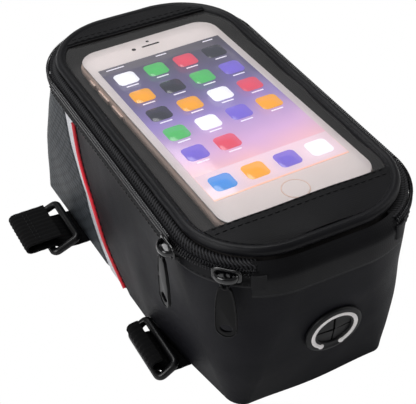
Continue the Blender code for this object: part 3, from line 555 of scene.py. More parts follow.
def display_picture():
    """The display's ground: a soft sweep from dusk grey over violet to peach."""
    look = lit("display_ground", "#8a7ba8")
    tree = look.node_tree
    shader = tree.nodes["Principled BSDF"]
    axis = add(tree, "ShaderNodeSeparateXYZ", Vector=place_of(tree))
    along = add(tree, "ShaderNodeMapRange", {"From Min": 0.052, "From Max": -0.052}, Value=axis.outputs["Y"])
    cloud = add(tree, "ShaderNodeTexNoise", {"Scale": 28.0, "Detail": 2.0}, Vector=place_of(tree))
    sway = add(tree, "ShaderNodeMath", {"operation": "MULTIPLY_ADD", 1: 0.22, 2: -0.11},
               i0=cloud.outputs["Fac"])
    sweep = add(tree, "ShaderNodeMath", {"operation": "ADD"}, i0=along.outputs[0], i1=sway.outputs[0])
    ramp = add(tree, "ShaderNodeValToRGB", Fac=sweep.outputs[0])
    stops = ((0.0, "#55535d"), (0.3, "#6a6488"), (0.5, "#8f80b4"), (0.72, "#c8a8c8"), (1.0, "#f0c0a8"))
    while len(ramp.color_ramp.elements) < len(stops):
        ramp.color_ramp.elements.new(0.5)
    for element, (position, colour) in zip(ramp.color_ramp.elements, stops):
        element.position, element.color = position, linear(colour)
    for socket in ("Base Color", "Emission Color"):
        tree.links.new(ramp.outputs["Color"], shader.inputs[socket])
    return look


clear_film = soft_vinyl()
display_ground = display_picture()
tray_look = lit("display_tray", "#d8c4cc")
pale_print = lit("display_strokes", "#e8e4ee")
tile_looks = [lit("display_tile_" + str(k + 1), colour) for k, colour in
              enumerate(("#e9e9ee", "#4f8fd0", "#58b26a", "#e2a23c", "#d0566a", "#7a6bc4", "#3b3d46"))]


# Body of the bag

def wrinkle(x, y, z, size, depth, seed=0.0):
    """Slow, steady unevenness of soft cloth, in mm."""
    return noise.noise(Vector((x / size + seed, y / size, z / size))) * depth


def cloth_wall(u, t, proud=0.0):
    """The wall as the cloth really lies: slack between its edges, with a few long creases."""
    x, y, z = wall_point(u, t)
    (nx, ny) = outline(u, HALF_WIDTH, NEAR_Y, FAR_Y, CORNER_NEAR, CORNER_FAR)[1]
    free = sin(pi * min(max(t, 0.0), 1.0)) ** 0.7
    out = proud + free * (wrinkle(x, y, z, 38.0, 1.3) + wrinkle(x, y, z, 15.0, 0.45, 7.0))
    sag = FOOT_SAG * sin(pi * min(u % WHOLE, 1.0)) ** 2 * max(t, 0.0) ** 3
    return (x + nx * out, y + ny * out, z - sag)


def wall_piece(name, look, slot, start, end, columns, replaces, width_mm, proud=0.0):
    """A wall panel: a cloth surface between two seams, turned over and tucked in at its side edges."""
    thick, tuck_width, tuck_depth = 1.4, 1.6, 0.5

    def place(u, v):
        t = 1.0 - v
        share = min(min(u, 1.0 - u) * width_mm / tuck_width, 1.0)
        return cloth_wall(start(t) * (1 - u) + end(t) * u, t, proud - tuck_depth * (1.0 - share) ** 2)

    obj = shaped_grid(columns, 44, place, size=(width_mm, WALL_TOP))
    thicken(obj, thick, -1.0)
    finish_piece(obj, name, "bag", look, 50.0)
    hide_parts(replaces)
    return obj


def make_walls():
    """The panels of the wall, and the cords and stitches of the two side seams between them."""
    front = wall_piece(
        "body_front", coated_polyester, "side_fabric",
        lambda t: side_u(piping_y(t), t, True), lambda t: side_u(piping_y(t), t, False) + WHOLE,
        190, "front_panel", 330.0)
    bore_for_port(front)
    for side, left in (("left", True), ("right", False)):
        strip = (lambda t: side_u(strip_y(t), t, left),
                 lambda t: side_u(piping_y(t) + PIPING_WIDTH * 0.6, t, left))
        seam = REAR_LEFT_SEAM if left else REAR_RIGHT_SEAM
        back = (lambda t: seam, lambda t: side_u(strip_y(t) + 0.3, t, left))
        if not left:
            strip, back = strip[::-1], back[::-1]
        wall_piece(side + "_reflective", reflective, "reflective", *strip, 8, side + "_reflective_strip",
                   15.0, proud=0.15)
        wall_piece(side + "_ripstop", ripstop, "ripstop", *back, 46, side + "_ripstop_panel", 75.0)
        middle = [cloth_wall(side_u(piping_y(t) + PIPING_WIDTH * 0.35, t, left), t, 0.1)
                  for t in steps(0.006, 0.991, 48)]
        cord = tube(middle, 0.9, 10)
        finish_piece(cord, side + "_red_piping", "bag", red_piping_look, 60.0)
        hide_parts(side + "_piping")
        beside = [cloth_wall(side_u(piping_y(t) - 1.6, t, left), t, 0.02)
                  for t in steps(0.03, 0.97, 44)]
        sew(side + "_piping_stitches", beside, 3.0, 2.1, "bag")
    wall_piece("body_rear", ripstop, "ripstop", lambda t: REAR_RIGHT_SEAM, lambda t: REAR_LEFT_SEAM, 60,
               "rear_panel", 110.0)


def make_rim_facing():
    """The tape that covers the panels' raw edges inside the rim, above the lining."""
    depth, drop = 1.75, 5.6

    def place(u, v):
        return cloth_wall(WHOLE * u, v * drop / (WALL_TOP - WALL_FOOT), -depth)

    facing = shaped_grid(240, 5, place, size=(480.0, drop), merge=True)
    thicken(facing, 0.4)
    close_normals(facing)
    finish_piece(facing, "rim_facing", "bag", band_polyester, 60.0)


def bore_for_port(front):
    """Cut the hole in the port-end wall that the rubber port is pressed into."""
    centre, across, up, out = port_frame()
    bpy.ops.mesh.primitive_cylinder_add(vertices=48, radius=PORT_HOLE * MM, depth=12.0 * MM)
    cutter = bpy.context.object
    cutter.matrix_world = Matrix.Translation(centre * MM) @ turned_to(across, up, out)
    hole = front.modifiers.new("port_hole", "BOOLEAN")
    hole.operation, hole.solver, hole.object = "DIFFERENCE", "EXACT", cutter
    apply_modifiers(front)
    bpy.data.objects.remove(cutter, do_unlink=True)


def sew(name, points, pitch, length, body, radius=0.2):
    """A row of single stitches that follows points, each a small thread bump half sunk in the cloth."""
    path = [Vector(p) for p in points]
    run = lengths_along(path)
    places, at, k = [], pitch / 2, 0
    while at < run[-1]:
        while run[k + 1] < at:
            k += 1
        share = (at - run[k]) / (run[k + 1] - run[k])
        along = (path[k + 1] - path[k]).normalized()
        side = along.orthogonal().normalized()
        turn = turned_to(along, side, along.cross(side))
        places.append(Matrix.Translation(path[k].lerp(path[k + 1], share)) @ turn
                      @ Matrix.Diagonal((length / 2, radius, radius, 1.0)))
        at += pitch
    bpy.ops.mesh.primitive_uv_sphere_add(segments=6, ring_count=5, radius=1.0)
    master = bpy.context.object
    master.data.transform(Matrix.Rotation(pi / 2, 4, "Y"))
    finish_piece(copies(master, places), name, body, black_thread, 60.0)


# Zip

def make_zip():
    """Two coils with their tapes. The lid's half lies above the split level, the bag's half below it."""
    first, last = near_u(ZIP_RIGHT_END), near_u(ZIP_LEFT_END)
    turns, around = 400, 9
    wire, wire_out, loop_out = 0.29, 0.66, 0.5
    for half in ("lid", "bag"):
        node = half + "_zip_teeth"
        low, high = (corner.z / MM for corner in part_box(node))
        middle, loop_up = (low + high) / 2, (high - low) / 2 - 0.2
        places, _ = even_places(first, last, 1.0, 0.65)

        def coil(u, v, middle=middle, loop_up=loop_up, places=places):
            at = u * (len(places) - 1)
            k = min(int(at), len(places) - 2)
            where = places[k] + (places[k + 1] - places[k]) * (at - k)
            a = 2 * pi * u * turns
            b = 2 * pi * v
            out = wire_out + cos(a) * (loop_out + wire * cos(b))
            z = middle + sin(a) * (loop_up + wire * cos(b))
            return ring_point(where + sin(b) * wire / 60.0, out, z)

        obj = shaped_grid(turns * around, 5, coil, merge=True)
        close_normals(obj)
        finish_piece(obj, half + "_coil", half, nylon_coil, 70.0)
        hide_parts(node)

    def profile_piece(name, body, node, profile, look, columns, thick):
        length = even_places(first, last)[1]
        places = even_places(first, last, length / columns)[0]

        def place(u, v):
            where = places[min(round(u * (len(places) - 1)), len(places) - 1)]
            at = v * (len(profile) - 1)
            k = min(int(at), len(profile) - 2)
            share = at - k
            out = profile[k][0] * (1 - share) + profile[k + 1][0] * share
            z = profile[k][1] * (1 - share) + profile[k + 1][1] * share
            return ring_point(where, out, z)

        obj = shaped_grid(len(places) - 1, 8, place, size=(length, 6.0))
        thicken(obj, thick)
        close_normals(obj)
        finish_piece(obj, name, body, look, 60.0)
        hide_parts(node)

    lid_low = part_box("lid_zip_teeth")[0].z / MM
    upper = [(-BINDING_INSET - 0.6, BINDING_LOW - 0.3), (-BINDING_INSET + 0.9, BINDING_LOW - 0.3),
             (-1.6, BINDING_LOW - 0.9), (-0.6, lid_low + 1.9), (-0.55, lid_low + 0.3)]
    profile_piece("lid_tape", "lid", "lid_zip_tape", upper, twill_tape, 300, 0.5)
    bag_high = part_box("bag_zip_teeth")[1].z / MM
    lower = [(-0.55, bag_high - 0.2), (-0.55, bag_high - 1.9), (-0.3, WALL_TOP + 3.2), (0.35, WALL_TOP + 2.4),
             (0.45, WALL_TOP + 0.6), (-0.35, WALL_TOP - 0.2)]
    profile_piece("bag_tape", "bag", "bag_zip_tape", lower, band_polyester, 260, 0.6)
    places = even_places(first, last, 2.0)[0]
    sew("tape_stitches", [ring_point(u, 0.78, WALL_TOP + 1.6) for u in places], 2.6, 1.8, "bag", 0.22)


def make_hinge_strip():
    """The strip of cloth at the port end, sewn to the wall and to the lid."""
    first, last = near_u(ZIP_LEFT_END) - WHOLE, near_u(ZIP_RIGHT_END)
    foot = WALL_TOP - 4.2
    head = BINDING_LOW + 0.2

    lap = 0.03          # how far the strip runs under the zip's stops, in outline values
    turn_in = 0.62      # share of the height above which it turns in under the binding

    def place(u, v):
        where = first - lap + (last - first + 2 * lap) * u
        z = foot + (head - foot) * v
        belly = 1.1 + 0.5 * sin(pi * v) - 3.6 * max(0.0, (v - turn_in) / (1.0 - turn_in)) ** 1.6
        x, y, _ = ring_point(where, 0.0, z)
        fold = wrinkle(x, y, z, 14.0, 0.5, 3.0) * sin(pi * v)
        if v < 0.06:
            belly -= 0.5
        return ring_point(where, belly + fold, z)

    obj = shaped_grid(80, 22, place, size=(62.0, 13.0))
    thicken(obj, 0.5)
    close_normals(obj)
    finish_piece(obj, "hinge_cloth", None, band_polyester, 60.0)
    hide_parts("hinge_strip", "lid_hinge_strip")
    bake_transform(obj)
    points = [ring_point(u, 1.22, foot + 1.0) for u in steps(first, last, 60)]
    sew("hinge_stitches", points, 2.8, 2.0, "bag")
    before, reach = 0.035, 0.10     # where a stop's cloth begins and its width, in outline values
    for node, where in (("left_zip_stop", first + WHOLE), ("right_zip_stop", last)):
        low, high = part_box(node)

        def patch(u, v, where=where, low=low, high=high):
            z = low.z / MM + (high.z - low.z) / MM * v
            crown = 1.9 + 0.55 * sin(pi * u) ** 0.5
            return ring_point(where - before + reach * u, crown, z)

        cover = shaped_grid(16, 10, patch, size=(6.0, 6.0))
        thicken(cover, 0.6, -1.0)
        close_normals(cover)
        finish_piece(cover, node + "_cloth", "bag", band_polyester, 60.0)
        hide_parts(node)


# Lid

def make_binding():
    """Rolled binding: a round cord under cloth, with a sewn flange groove on its inner side."""
    inner = -BINDING_INSET - BINDING_WIDTH
    middle = -BINDING_INSET - 2.0
    cord_wide, cord_tall, cord_z = 1.95, 2.15, LID_TOP - 2.2
    profile = [(middle + cord_wide * cos(a), cord_z + cord_tall * sin(a))
               for a in steps(radians(-120.0), radians(142.0), 14)]
    profile += [(middle - 2.1, LID_TOP - 0.95), (inner + 0.55, LID_TOP - 0.9), (inner, LID_TOP - 1.5),
                (inner + 0.1, BINDING_LOW + 1.0), (inner + 1.2, BINDING_LOW + 0.2),
                (middle - 1.2, BINDING_LOW)]
    places, length = even_places(step=1.6, out=-3.3)
    places = places[:-1]
    count = len(profile)

    def place(u, v):
        where = places[round(u * len(places)) % len(places)]
        out, z = profile[round(v * count) % count]
        x, y, _ = ring_point(where, out, z)
        ease = wrinkle(x, y, 0.0, 9.0, 0.16, 5.0)
        return ring_point(where, out + ease, z + ease * 0.6)

    obj = shaped_grid(len(places), count, place, size=(length, 14.0), merge=True)
    close_normals(obj)
    sub = obj.modifiers.new("round", "SUBSURF")
    sub.levels = sub.render_levels = 1
    apply_modifiers(obj)
    finish_piece(obj, "lid_rolled_binding", "lid", rolled_binding, 70.0)
    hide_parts("lid_binding")
    places = even_places(step=2.0, out=inner)[0]
    row = [ring_point(u, inner + 0.9, LID_TOP - 0.88) for u in places]
    sew("binding_stitches", row, 3.0, 2.1, "lid", 0.17)


def band_piece(name, node, near_y, far_y, window_beyond):
    """A cloth band at one end of the window, with a hem along the edge that the window lies beyond."""
    out = -BINDING_INSET - BINDING_WIDTH + 0.8
    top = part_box(node)[1].z / MM
    edge, inward = (far_y, -1) if window_beyond else (near_y, 1)
    hem_width, hem_rise, crown = 3.4, 0.25, 0.35

    def place(u, v):
        y = near_y + (far_y - near_y) * (0.5 - 0.5 * cos(pi * v))
        x = half_width_at(y, out) * (2 * u - 1)
        rise = crown * sin(pi * u) + wrinkle(x, y, 0.0, 22.0, 0.5, 11.0) - 0.3
        if abs(y - edge) < hem_width:
            rise += hem_rise
        if abs(y - edge) < 0.7:
            rise -= 0.55
        return (x, y, top + rise)

    obj = shaped_grid(60, 26, place, size=(80.0, abs(far_y - near_y)))
    thicken(obj, 0.7, -1.0)
    finish_piece(obj, name, "lid", band_polyester, 50.0)
    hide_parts(node)
    reach = half_width_at(edge + inward * hem_width, out) - 0.8
    for number, back in enumerate((1.3, 3.9)):
        y = edge + inward * back
        level = top - 0.12 + (hem_rise if back < hem_width else 0.0)
        row = [(x, y, level + crown * sin(pi * (x / reach / 2 + 0.5)) + wrinkle(x, y, 0.0, 22.0, 0.5, 11.0))
               for x in steps(-reach, reach, 40)]
        sew(f"{name}_stitches_{number + 1}", row, 3.0, 2.1, "lid", 0.19)


def half_width_at(y, out):
    """Half the width of the lid outline, moved out by out, at a place along Y."""
    corner = (CORNER_NEAR if y < 0 else CORNER_FAR) + out
    centre = NEAR_Y - out + corner if y < 0 else FAR_Y + out - corner
    beyond = centre - y if y < 0 else y - centre
    inset = corner - max(corner * corner - max(beyond, 0.0) ** 2, 0.0) ** 0.5
    return HALF_WIDTH + out - inset


def make_film():
    """The clear film: one sheet under the bands, sewn in at the binding, with slack waves."""
    out = -BINDING_INSET - BINDING_WIDTH + 1.2
    near, far = NEAR_Y - out, FAR_Y + out

    def place(u, v):
        y = near + (far - near) * (0.5 - 0.5 * cos(pi * v))
        side = 2 * u - 1
        x = half_width_at(y, out) * side
        edge = abs(side) ** 3
        wave = 0.22 * edge * sin(y / 4.6 + 1.8 * side) + wrinkle(x, y, 0.0, 26.0, 0.30, 20.0)
        return (x, y, FILM_Z - 0.1 + wave)

    film = shaped_grid(90, 160, place, size=(2 * (HALF_WIDTH + out), far - near))
    finish_piece(film, "film", "lid", clear_film, 60.0)
    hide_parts("window_film")


# Phone

def rounded_block(middle, size, corner, edge, low, segments):
    """A block with round upright corners and softer rounded edges, from a cube and two bevels."""
    bpy.ops.mesh.primitive_cube_add(size=1.0)
    obj = bpy.context.object
    obj.dimensions = (size[0] * MM, size[1] * MM, size[2] * MM)
    obj.location = (middle[0] * MM, middle[1] * MM, (low + size[2] / 2) * MM)
    pick(obj)
    bpy.ops.object.transform_apply(location=True, rotation=True, scale=True)
    weights = obj.data.attributes.new("bevel_weight_edge", "FLOAT", "EDGE")
    for edge_line in obj.data.edges:
        a, b = (obj.data.vertices[k].co for k in edge_line.vertices)
        weights.data[edge_line.index].value = 1.0 if abs(a.z - b.z) > 1e-5 else 0.0
    upright = obj.modifiers.new("corners", "BEVEL")
    upright.limit_method, upright.width, upright.segments = "WEIGHT", corner * MM, 14
    rim = obj.modifiers.new("edges", "BEVEL")
    rim.limit_method, rim.angle_limit = "ANGLE", radians(40.0)
    rim.width, rim.segments = edge * MM, segments
    apply_modifiers(obj)
    return obj


def turned_with_phone(obj):
    """Turn a piece about the phone's middle, as the phone lies in its pocket."""
    x, y, _ = middle_of("phone_shell")
    about = Matrix.Translation((x * MM, y * MM, 0))
    obj.data.transform(about @ Matrix.Rotation(PHONE_TURN, 4, "Z") @ about.inverted())


def middle_of(node):
    """The middle of a node's box, in mm."""
    low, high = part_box(node)
    return ((low.x + high.x) / 2 / MM, (low.y + high.y) / 2 / MM, (low.z + high.z) / 2 / MM)


def finish_phone(obj, name, look, smooth=40.0):
    """Finish a piece of the phone, which is turned before it rides on the lid."""
    finish_piece(obj, name, None, look, smooth)
    turned_with_phone(obj)
    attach(obj, "lid")


def make_phone():
    """The phone in the pocket: case, side keys, face, lit screen, home key, speaker slot and sensors."""
    shell_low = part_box("phone_shell")[0].z / MM
    face_low, face_high = (corner.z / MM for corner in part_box("phone_glass"))
    middle = middle_of("phone_shell")
    shell_size = (PHONE_WIDTH, PHONE_LENGTH, face_low + 0.05 - shell_low)
    shell = rounded_block(middle, shell_size, 10.0, 2.9, shell_low, 8)
    finish_phone(shell, "phone_case", rose_aluminium)
    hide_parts("phone_shell")
    for number, (y, reach) in enumerate(((38.0, 5.0), (24.5, 5.0), (49.5, 2.6))):
        key = rounded_block((middle[0] - PHONE_WIDTH / 2 - 0.15, y, 0), (0.9, 2 * reach, 2.0), 0.3, 0.25,
                            shell_low + 2.4, 3)
        finish_phone(key, f"phone_side_key_{number + 1}", rose_aluminium)
    face_size = (PHONE_WIDTH - 1.5, PHONE_LENGTH - 1.5, 0.62)
    face = rounded_block(middle, face_size, 9.2, 0.35, face_high - face_size[2], 5)
    finish_phone(face, "phone_face", white_glass)
    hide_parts("phone_glass")

    screen = rounded_block(middle, (SCREEN_WIDTH, SCREEN_LENGTH, 0.16), 0.3, 0.05, face_high - 0.04, 2)
    finish_phone(screen, "screen", display_ground)
    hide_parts("phone_screen")
    make_tiles(middle[:2], face_high + 0.12)

    margin = (SCREEN_LENGTH + PHONE_LENGTH) / 4     # from the phone's middle to the middle of its margin
    button_at = Vector((middle[0], middle[1] - margin, face_high)) * MM
    bpy.ops.mesh.primitive_cylinder_add(vertices=64, radius=5.1 * MM, depth=0.24 * MM,
                                        location=button_at + Vector((0, 0, 0.02 * MM)))
    button = bpy.context.object
    finish_phone(button, "home_key", white_glass)
    bpy.ops.mesh.primitive_torus_add(major_radius=5.35 * MM, minor_radius=0.22 * MM, major_segments=72,
                                     minor_segments=8, location=button_at)
    ring = bpy.context.object
    finish_phone(ring, "home_key_ring", rose_aluminium, 60.0)
    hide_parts("phone_home_key")
    top = middle[1] + margin
    slot = rounded_block((middle[0], top, 0), (8.6, 1.1, 0.12), 0.54, 0.02, face_high - 0.05, 3)
    finish_phone(slot, "speaker_slot", dark_glass)
    for name, x, y, radius in (("camera_dot", -8.2, 0.0, 1.0), ("light_sensor", 0.0, 3.4, 0.7)):
        spot = Vector((middle[0] + x, top + y, face_high + 0.01)) * MM
        bpy.ops.mesh.primitive_cylinder_add(vertices=32, radius=radius * MM, depth=0.1 * MM, location=spot)
        finish_phone(bpy.context.object, name, dark_glass)


def make_tiles(middle, level):
    """A generic home screen: rows of plain tiles with short strokes under them, and a tray at the foot."""
    x, y = middle
    columns, rows, tile = 4, 5, 9.4
    step_x, step_y = SCREEN_WIDTH / (columns + 0.15), 15.6
    top = y + SCREEN_LENGTH / 2 - 11.5
    groups = {k: [] for k in range(len(tile_looks))}
    strokes = []
    for row in range(rows):
        for column in range(columns):
            if row == rows - 1 and column > 1:
                continue
            at = Vector((x + (column - (columns - 1) / 2) * step_x, top - row * step_y, 0))
            groups[(row * 3 + column * 2 + row * column) % len(tile_looks)].append(at)
            strokes.append(Vector((at.x, at.y - tile / 2 - 1.6, 0)))
    tray_y = y - SCREEN_LENGTH / 2 + 8.6
    for column in range(columns):
        at = Vector((x + (column - (columns - 1) / 2) * step_x, tray_y, 0))
        groups[(column * 2 + 1) % len(tile_looks)].append(at)
    tray = rounded_block((x, tray_y, 0), (SCREEN_WIDTH - 0.3, step_y, 0.03), 0.2, 0.01, level, 2)
    finish_phone(tray, "screen_tray", tray_look)
    for k, spots in groups.items():
        master = rounded_block((0, 0, 0), (tile, tile, 0.05), 2.2, 0.015, 0.0, 2)
        tiles = copies(scaled_to_mm(master), [Matrix.Translation((p.x, p.y, level + 0.03)) for p in spots])
        finish_phone(tiles, f"screen_tiles_{k + 1}", tile_looks[k])
    mark = rounded_block((0, 0, 0), (5.6, 0.8, 0.03), 0.3, 0.01, 0.0, 2)
    places = [Matrix.Translation((p.x, p.y, level + 0.02)) for p in strokes]
    for dx, share in ((-22.0, 1.5), (0.0, 0.9), (23.0, 0.9)):
        spot = Matrix.Translation((x + dx, y + SCREEN_LENGTH / 2 - 1.9, level + 0.02))
        places.append(spot @ Matrix.Diagonal((share, 0.9, 1.0, 1.0)))
    finish_phone(copies(scaled_to_mm(mark), places), "screen_strokes", pale_print)


def scaled_to_mm(obj):
    """Turn a small mesh made in metres into mm, as copies() takes it."""
    obj.data.transform(Matrix.Scale(1 / MM, 4))
    return obj


# Sliders

def outline_plate(points, thick, edge, to_bag, holes=()):
    """A plate of the given outline in a slider's own axes, centred on its own thickness, with rounded edges.

    to_bag turns a point along, out and up into the bag's axes."""
    bpy.ops.mesh.primitive_circle_add(vertices=len(points), radius=1.0, fill_type="NGON")
    obj = bpy.context.object
    for vert, (a, up) in zip(obj.data.vertices, points):
        vert.co = (a * MM, up * MM, 0.0)
    solid = obj.modifiers.new("thickness", "SOLIDIFY")
    solid.thickness, solid.offset = thick * MM, 0.0
    cutters = []
    for a, up, radius, squash in holes:
        bpy.ops.mesh.primitive_cylinder_add(vertices=40, radius=radius * MM, depth=thick * 4 * MM,
                                            location=(a * MM, up * MM, 0.0))
        cutter = bpy.context.object
        cutter.scale = (1.0, squash, 1.0)
        cut = obj.modifiers.new("hole", "BOOLEAN")
        cut.operation, cut.solver, cut.object = "DIFFERENCE", "EXACT", cutter
        cutters.append(cutter)
    bevel = obj.modifiers.new("edges", "BEVEL")
    bevel.limit_method, bevel.angle_limit = "ANGLE", radians(50.0)
    bevel.width, bevel.segments = edge * MM, 4
    apply_modifiers(obj)
    for cutter in cutters:
        bpy.data.objects.remove(cutter, do_unlink=True)
    for vert in obj.data.vertices:
        a, up, out = vert.co / MM
        vert.co = Vector(to_bag(a, out, up)) * MM
    close_normals(obj)
    return obj


def swept(points, radius, to_bag, sides=10, squash=1.0):
    """A tube along points of a slider's own axes."""
    return tube([to_bag(*p) for p in points], radius, sides, squash=squash)


def make_slider(number, place, outward):
    """A coil-zip slider: a waisted plate over the chain with a lip below, a bridge, and a slotted pull."""
    nx, ny = outward

    def to_bag(along, out, up):
        return (place[0] + nx * out + ny * along, place[1] + ny * out - nx * along, up)

    body = f"slider_{number}"
    low, high = (corner.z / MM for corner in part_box(body))
    middle = (low + high) / 2
    plate_out, squareness = 2.75, 0.55
    half, tall = 5.5, (high - low) / 2
    shape = []
    for k in range(40):
        a = 2 * pi * k / 40
        reach = abs(cos(a)) ** squareness * (1 if cos(a) > 0 else -1)
        rise = abs(sin(a)) ** squareness * (1 if sin(a) > 0 else -1)
        waist = 1.0 - 0.16 * (1 - abs(reach)) - 0.10 * max(-reach, 0.0)
        shape.append((half * reach, tall * rise * waist))

    def lifted(a, out, up):
        crown = 0.55 * (1 - (a / half) ** 2) * (1 - (up / tall) ** 2)
        return to_bag(a, plate_out + out + crown, middle + up)

    parts = [outline_plate(shape, 0.95, 0.4, lifted)]
    lip = [(a, 1.55, middle - (tall - 0.55) * (1.0 - 0.06 * (1 - abs(a) / half)))
           for a in steps(-half + 1.1, half - 1.1, 10)]
    parts.append(swept(lip, 0.62, to_bag, squash=1.3))
    bridge_end = 3.9
    bridge = [(-bridge_end * cos(a), 2.9 + 3.25 * sin(a) ** 0.75, middle + 0.1) for a in steps(0.0, pi, 24)]
    parts.append(swept(bridge, 0.72, to_bag, 12, 1.9))
    for end in (-bridge_end, bridge_end):
        foot = [(end, 2.6, middle - 1.9), (end, 2.85, middle), (end, 2.6, middle + 1.9)]
        parts.append(swept(foot, 0.7, to_bag))
    shown = joined(parts)
    finish_piece(shown, body + "_body", body, black_enamel)
    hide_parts(body)

    pull = f"pull_{number}"
    pin_out = 5.3
    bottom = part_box(pull)[0].z / MM
    length = middle - bottom
    wide = 4.15
    tab = [(wide * cos(a), bottom + wide * 1.05 * (1.0 + sin(a))) for a in steps(pi, 2 * pi, 14)]
    top = middle - 3.4
    tab += [(wide * 0.97, bottom + length * 0.42), (wide * 0.86, bottom + length * 0.64), (2.6, top - 1.0),
            (1.7, top + 0.2), (-1.7, top + 0.2), (-2.6, top - 1.0), (-wide * 0.86, bottom + length * 0.64),
            (-wide * 0.97, bottom + length * 0.42)]

    def hung(a, out, up):
        return to_bag(a, pin_out + out, up)

    parts = [outline_plate(tab, 1.0, 0.22, hung, holes=((0.0, bottom + 4.3, 2.3, 0.8),))]
    rim = [Vector(to_bag(a * 0.93, pin_out + 0.42, bottom + (up - bottom) * 0.975 + 0.3)) for a, up in tab]
    smooth_rim = []
    for k, point in enumerate(rim):
        after = rim[(k + 1) % len(rim)]
        smooth_rim += [point, point.lerp(after, 0.5)]
    parts.append(tube(smooth_rim, 0.3, 8, closed=True))
    eye = [to_bag(1.35 * cos(a), pin_out + 0.1, middle - 1.7 + 2.35 * sin(a))
           for a in steps(0.0, 2 * pi, 28)[:-1]]
    parts.append(tube(eye, 0.62, 10, closed=True))
    shown = joined(parts)
    finish_piece(shown, pull + "_tab", pull, pull_enamel)
    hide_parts(pull)


# Port

def port_frame():
    """The port's centre and its directions: across, up along the face, and straight out of it."""
    low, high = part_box("port_grommet")
    centre_z = (low.z + high.z) / 2 / MM
    t = (WALL_TOP - centre_z) / (WALL_TOP - WALL_FOOT)
    x = (low.x + high.x) / 2 / MM
    reach = wall_point(1.0, t)[0]
    u = (x / reach + 1.0) / 2.0
    centre = Vector(wall_point(u, t))
    up = (Vector(wall_point(u, t - 0.1)) - Vector(wall_point(u, t + 0.1))).normalized()
    across = Vector((1.0, 0.0, 0.0))
    return centre, across, up, across.cross(up).normalized()


def port_piece(name, profile, look, columns=96, first=0.0, last=360.0):
    """A profile of (radius, height) turned about the port's axis, closed round its section."""
    centre, across, up, out = port_frame()
    count = len(profile)

    def place(u, v):
        a = radians(first + (last - first) * u)
        r, h = profile[round(v * count) % count]
        return tuple(centre + across * (r * cos(a)) + up * (r * sin(a)) + out * h)

    obj = shaped_grid(columns, count, place, size=(60.0, 10.0), merge=True)
    if last - first < 360.0:
        close_ends()
    close_normals(obj)
    finish_piece(obj, name, "bag", look, 50.0)
    return obj


def arc(radius_middle, height_middle, radius, first, last, count):
    """Points of a round corner of a profile."""
    return [(radius_middle + radius * cos(a), height_middle + radius * sin(a))
            for a in steps(radians(first), radians(last), count - 1)]


def make_port():
    """The rubber port: a ring with a pale broken mark on it, and a membrane of four flaps."""
    profile = arc(11.2, 0.95, 0.95, -90.0, 60.0, 7) + [(10.3, 2.05), (9.75, 1.75), (9.6, 1.7), (7.95, 1.7)]
    profile += arc(7.75, 1.45, 0.25, 90.0, 180.0, 3)
    profile += [(7.45, 0.2), (7.5, -3.2), (9.5, -3.4), (9.6, -0.1)]
    grommet = port_piece("port_ring", profile, moulded_rubber)
    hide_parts("port_grommet")
    level, first, last = 1.85, -66.0, 236.0
    ring = arc(MARK_RADIUS, level, 0.85, 0.0, 180.0, 9)
    ring = [(r, level + (h - level) * 0.55) for r, h in ring]
    ring += [(MARK_RADIUS - 0.8, 1.6), (MARK_RADIUS + 0.8, 1.6)]
    mark = port_piece("port_mark_ring", ring, pale_rubber, 80, first, last)
    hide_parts("port_mark")
    centre, across, up, out = port_frame()
    for number, angle in enumerate((first, last)):
        a = radians(angle)
        bpy.ops.mesh.primitive_uv_sphere_add(segments=16, ring_count=10, radius=1.25 * MM)
        cap = bpy.context.object
        spot = centre + across * (MARK_RADIUS * cos(a)) + up * (MARK_RADIUS * sin(a)) + out * 1.8
        flat = Matrix.Diagonal((1.0, 1.0, 0.6, 1.0))
        cap.matrix_world = Matrix.Translation(spot * MM) @ turned_to(across, up, out) @ flat
        finish_piece(cap, f"port_mark_end_{number + 1}", "bag", pale_rubber, 60.0)
    parts = []
    slit = 0.34     # how far a flap's tip stands off the middle
    for quarter, (side_x, side_y) in enumerate(((1, 1), (-1, 1), (-1, -1), (1, -1))):
        def place(u, v, quarter=quarter, side_x=side_x, side_y=side_y):
            a = radians(90.0 * quarter + 3.0 + 84.0 * u)
            x = 7.5 * v * cos(a) + side_x * slit * (1 - v)
            y = 7.5 * v * sin(a) + side_y * slit * (1 - v)
            height = 0.15 + 0.55 * (1 - v) ** 1.5 - 0.25 * (quarter % 2) * (1 - v)
            return tuple(centre + across * x + up * y + out * height)

        flap = shaped_grid(14, 12, place, size=(8.0, 8.0))
        thicken(flap, 0.8, -1.0)
        close_normals(flap)
        parts.append(flap)
    membrane = joined(parts)
    finish_piece(membrane, "port_slit_membrane", "bag", moulded_rubber, 50.0)
    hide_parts("port_membrane")


# Straps

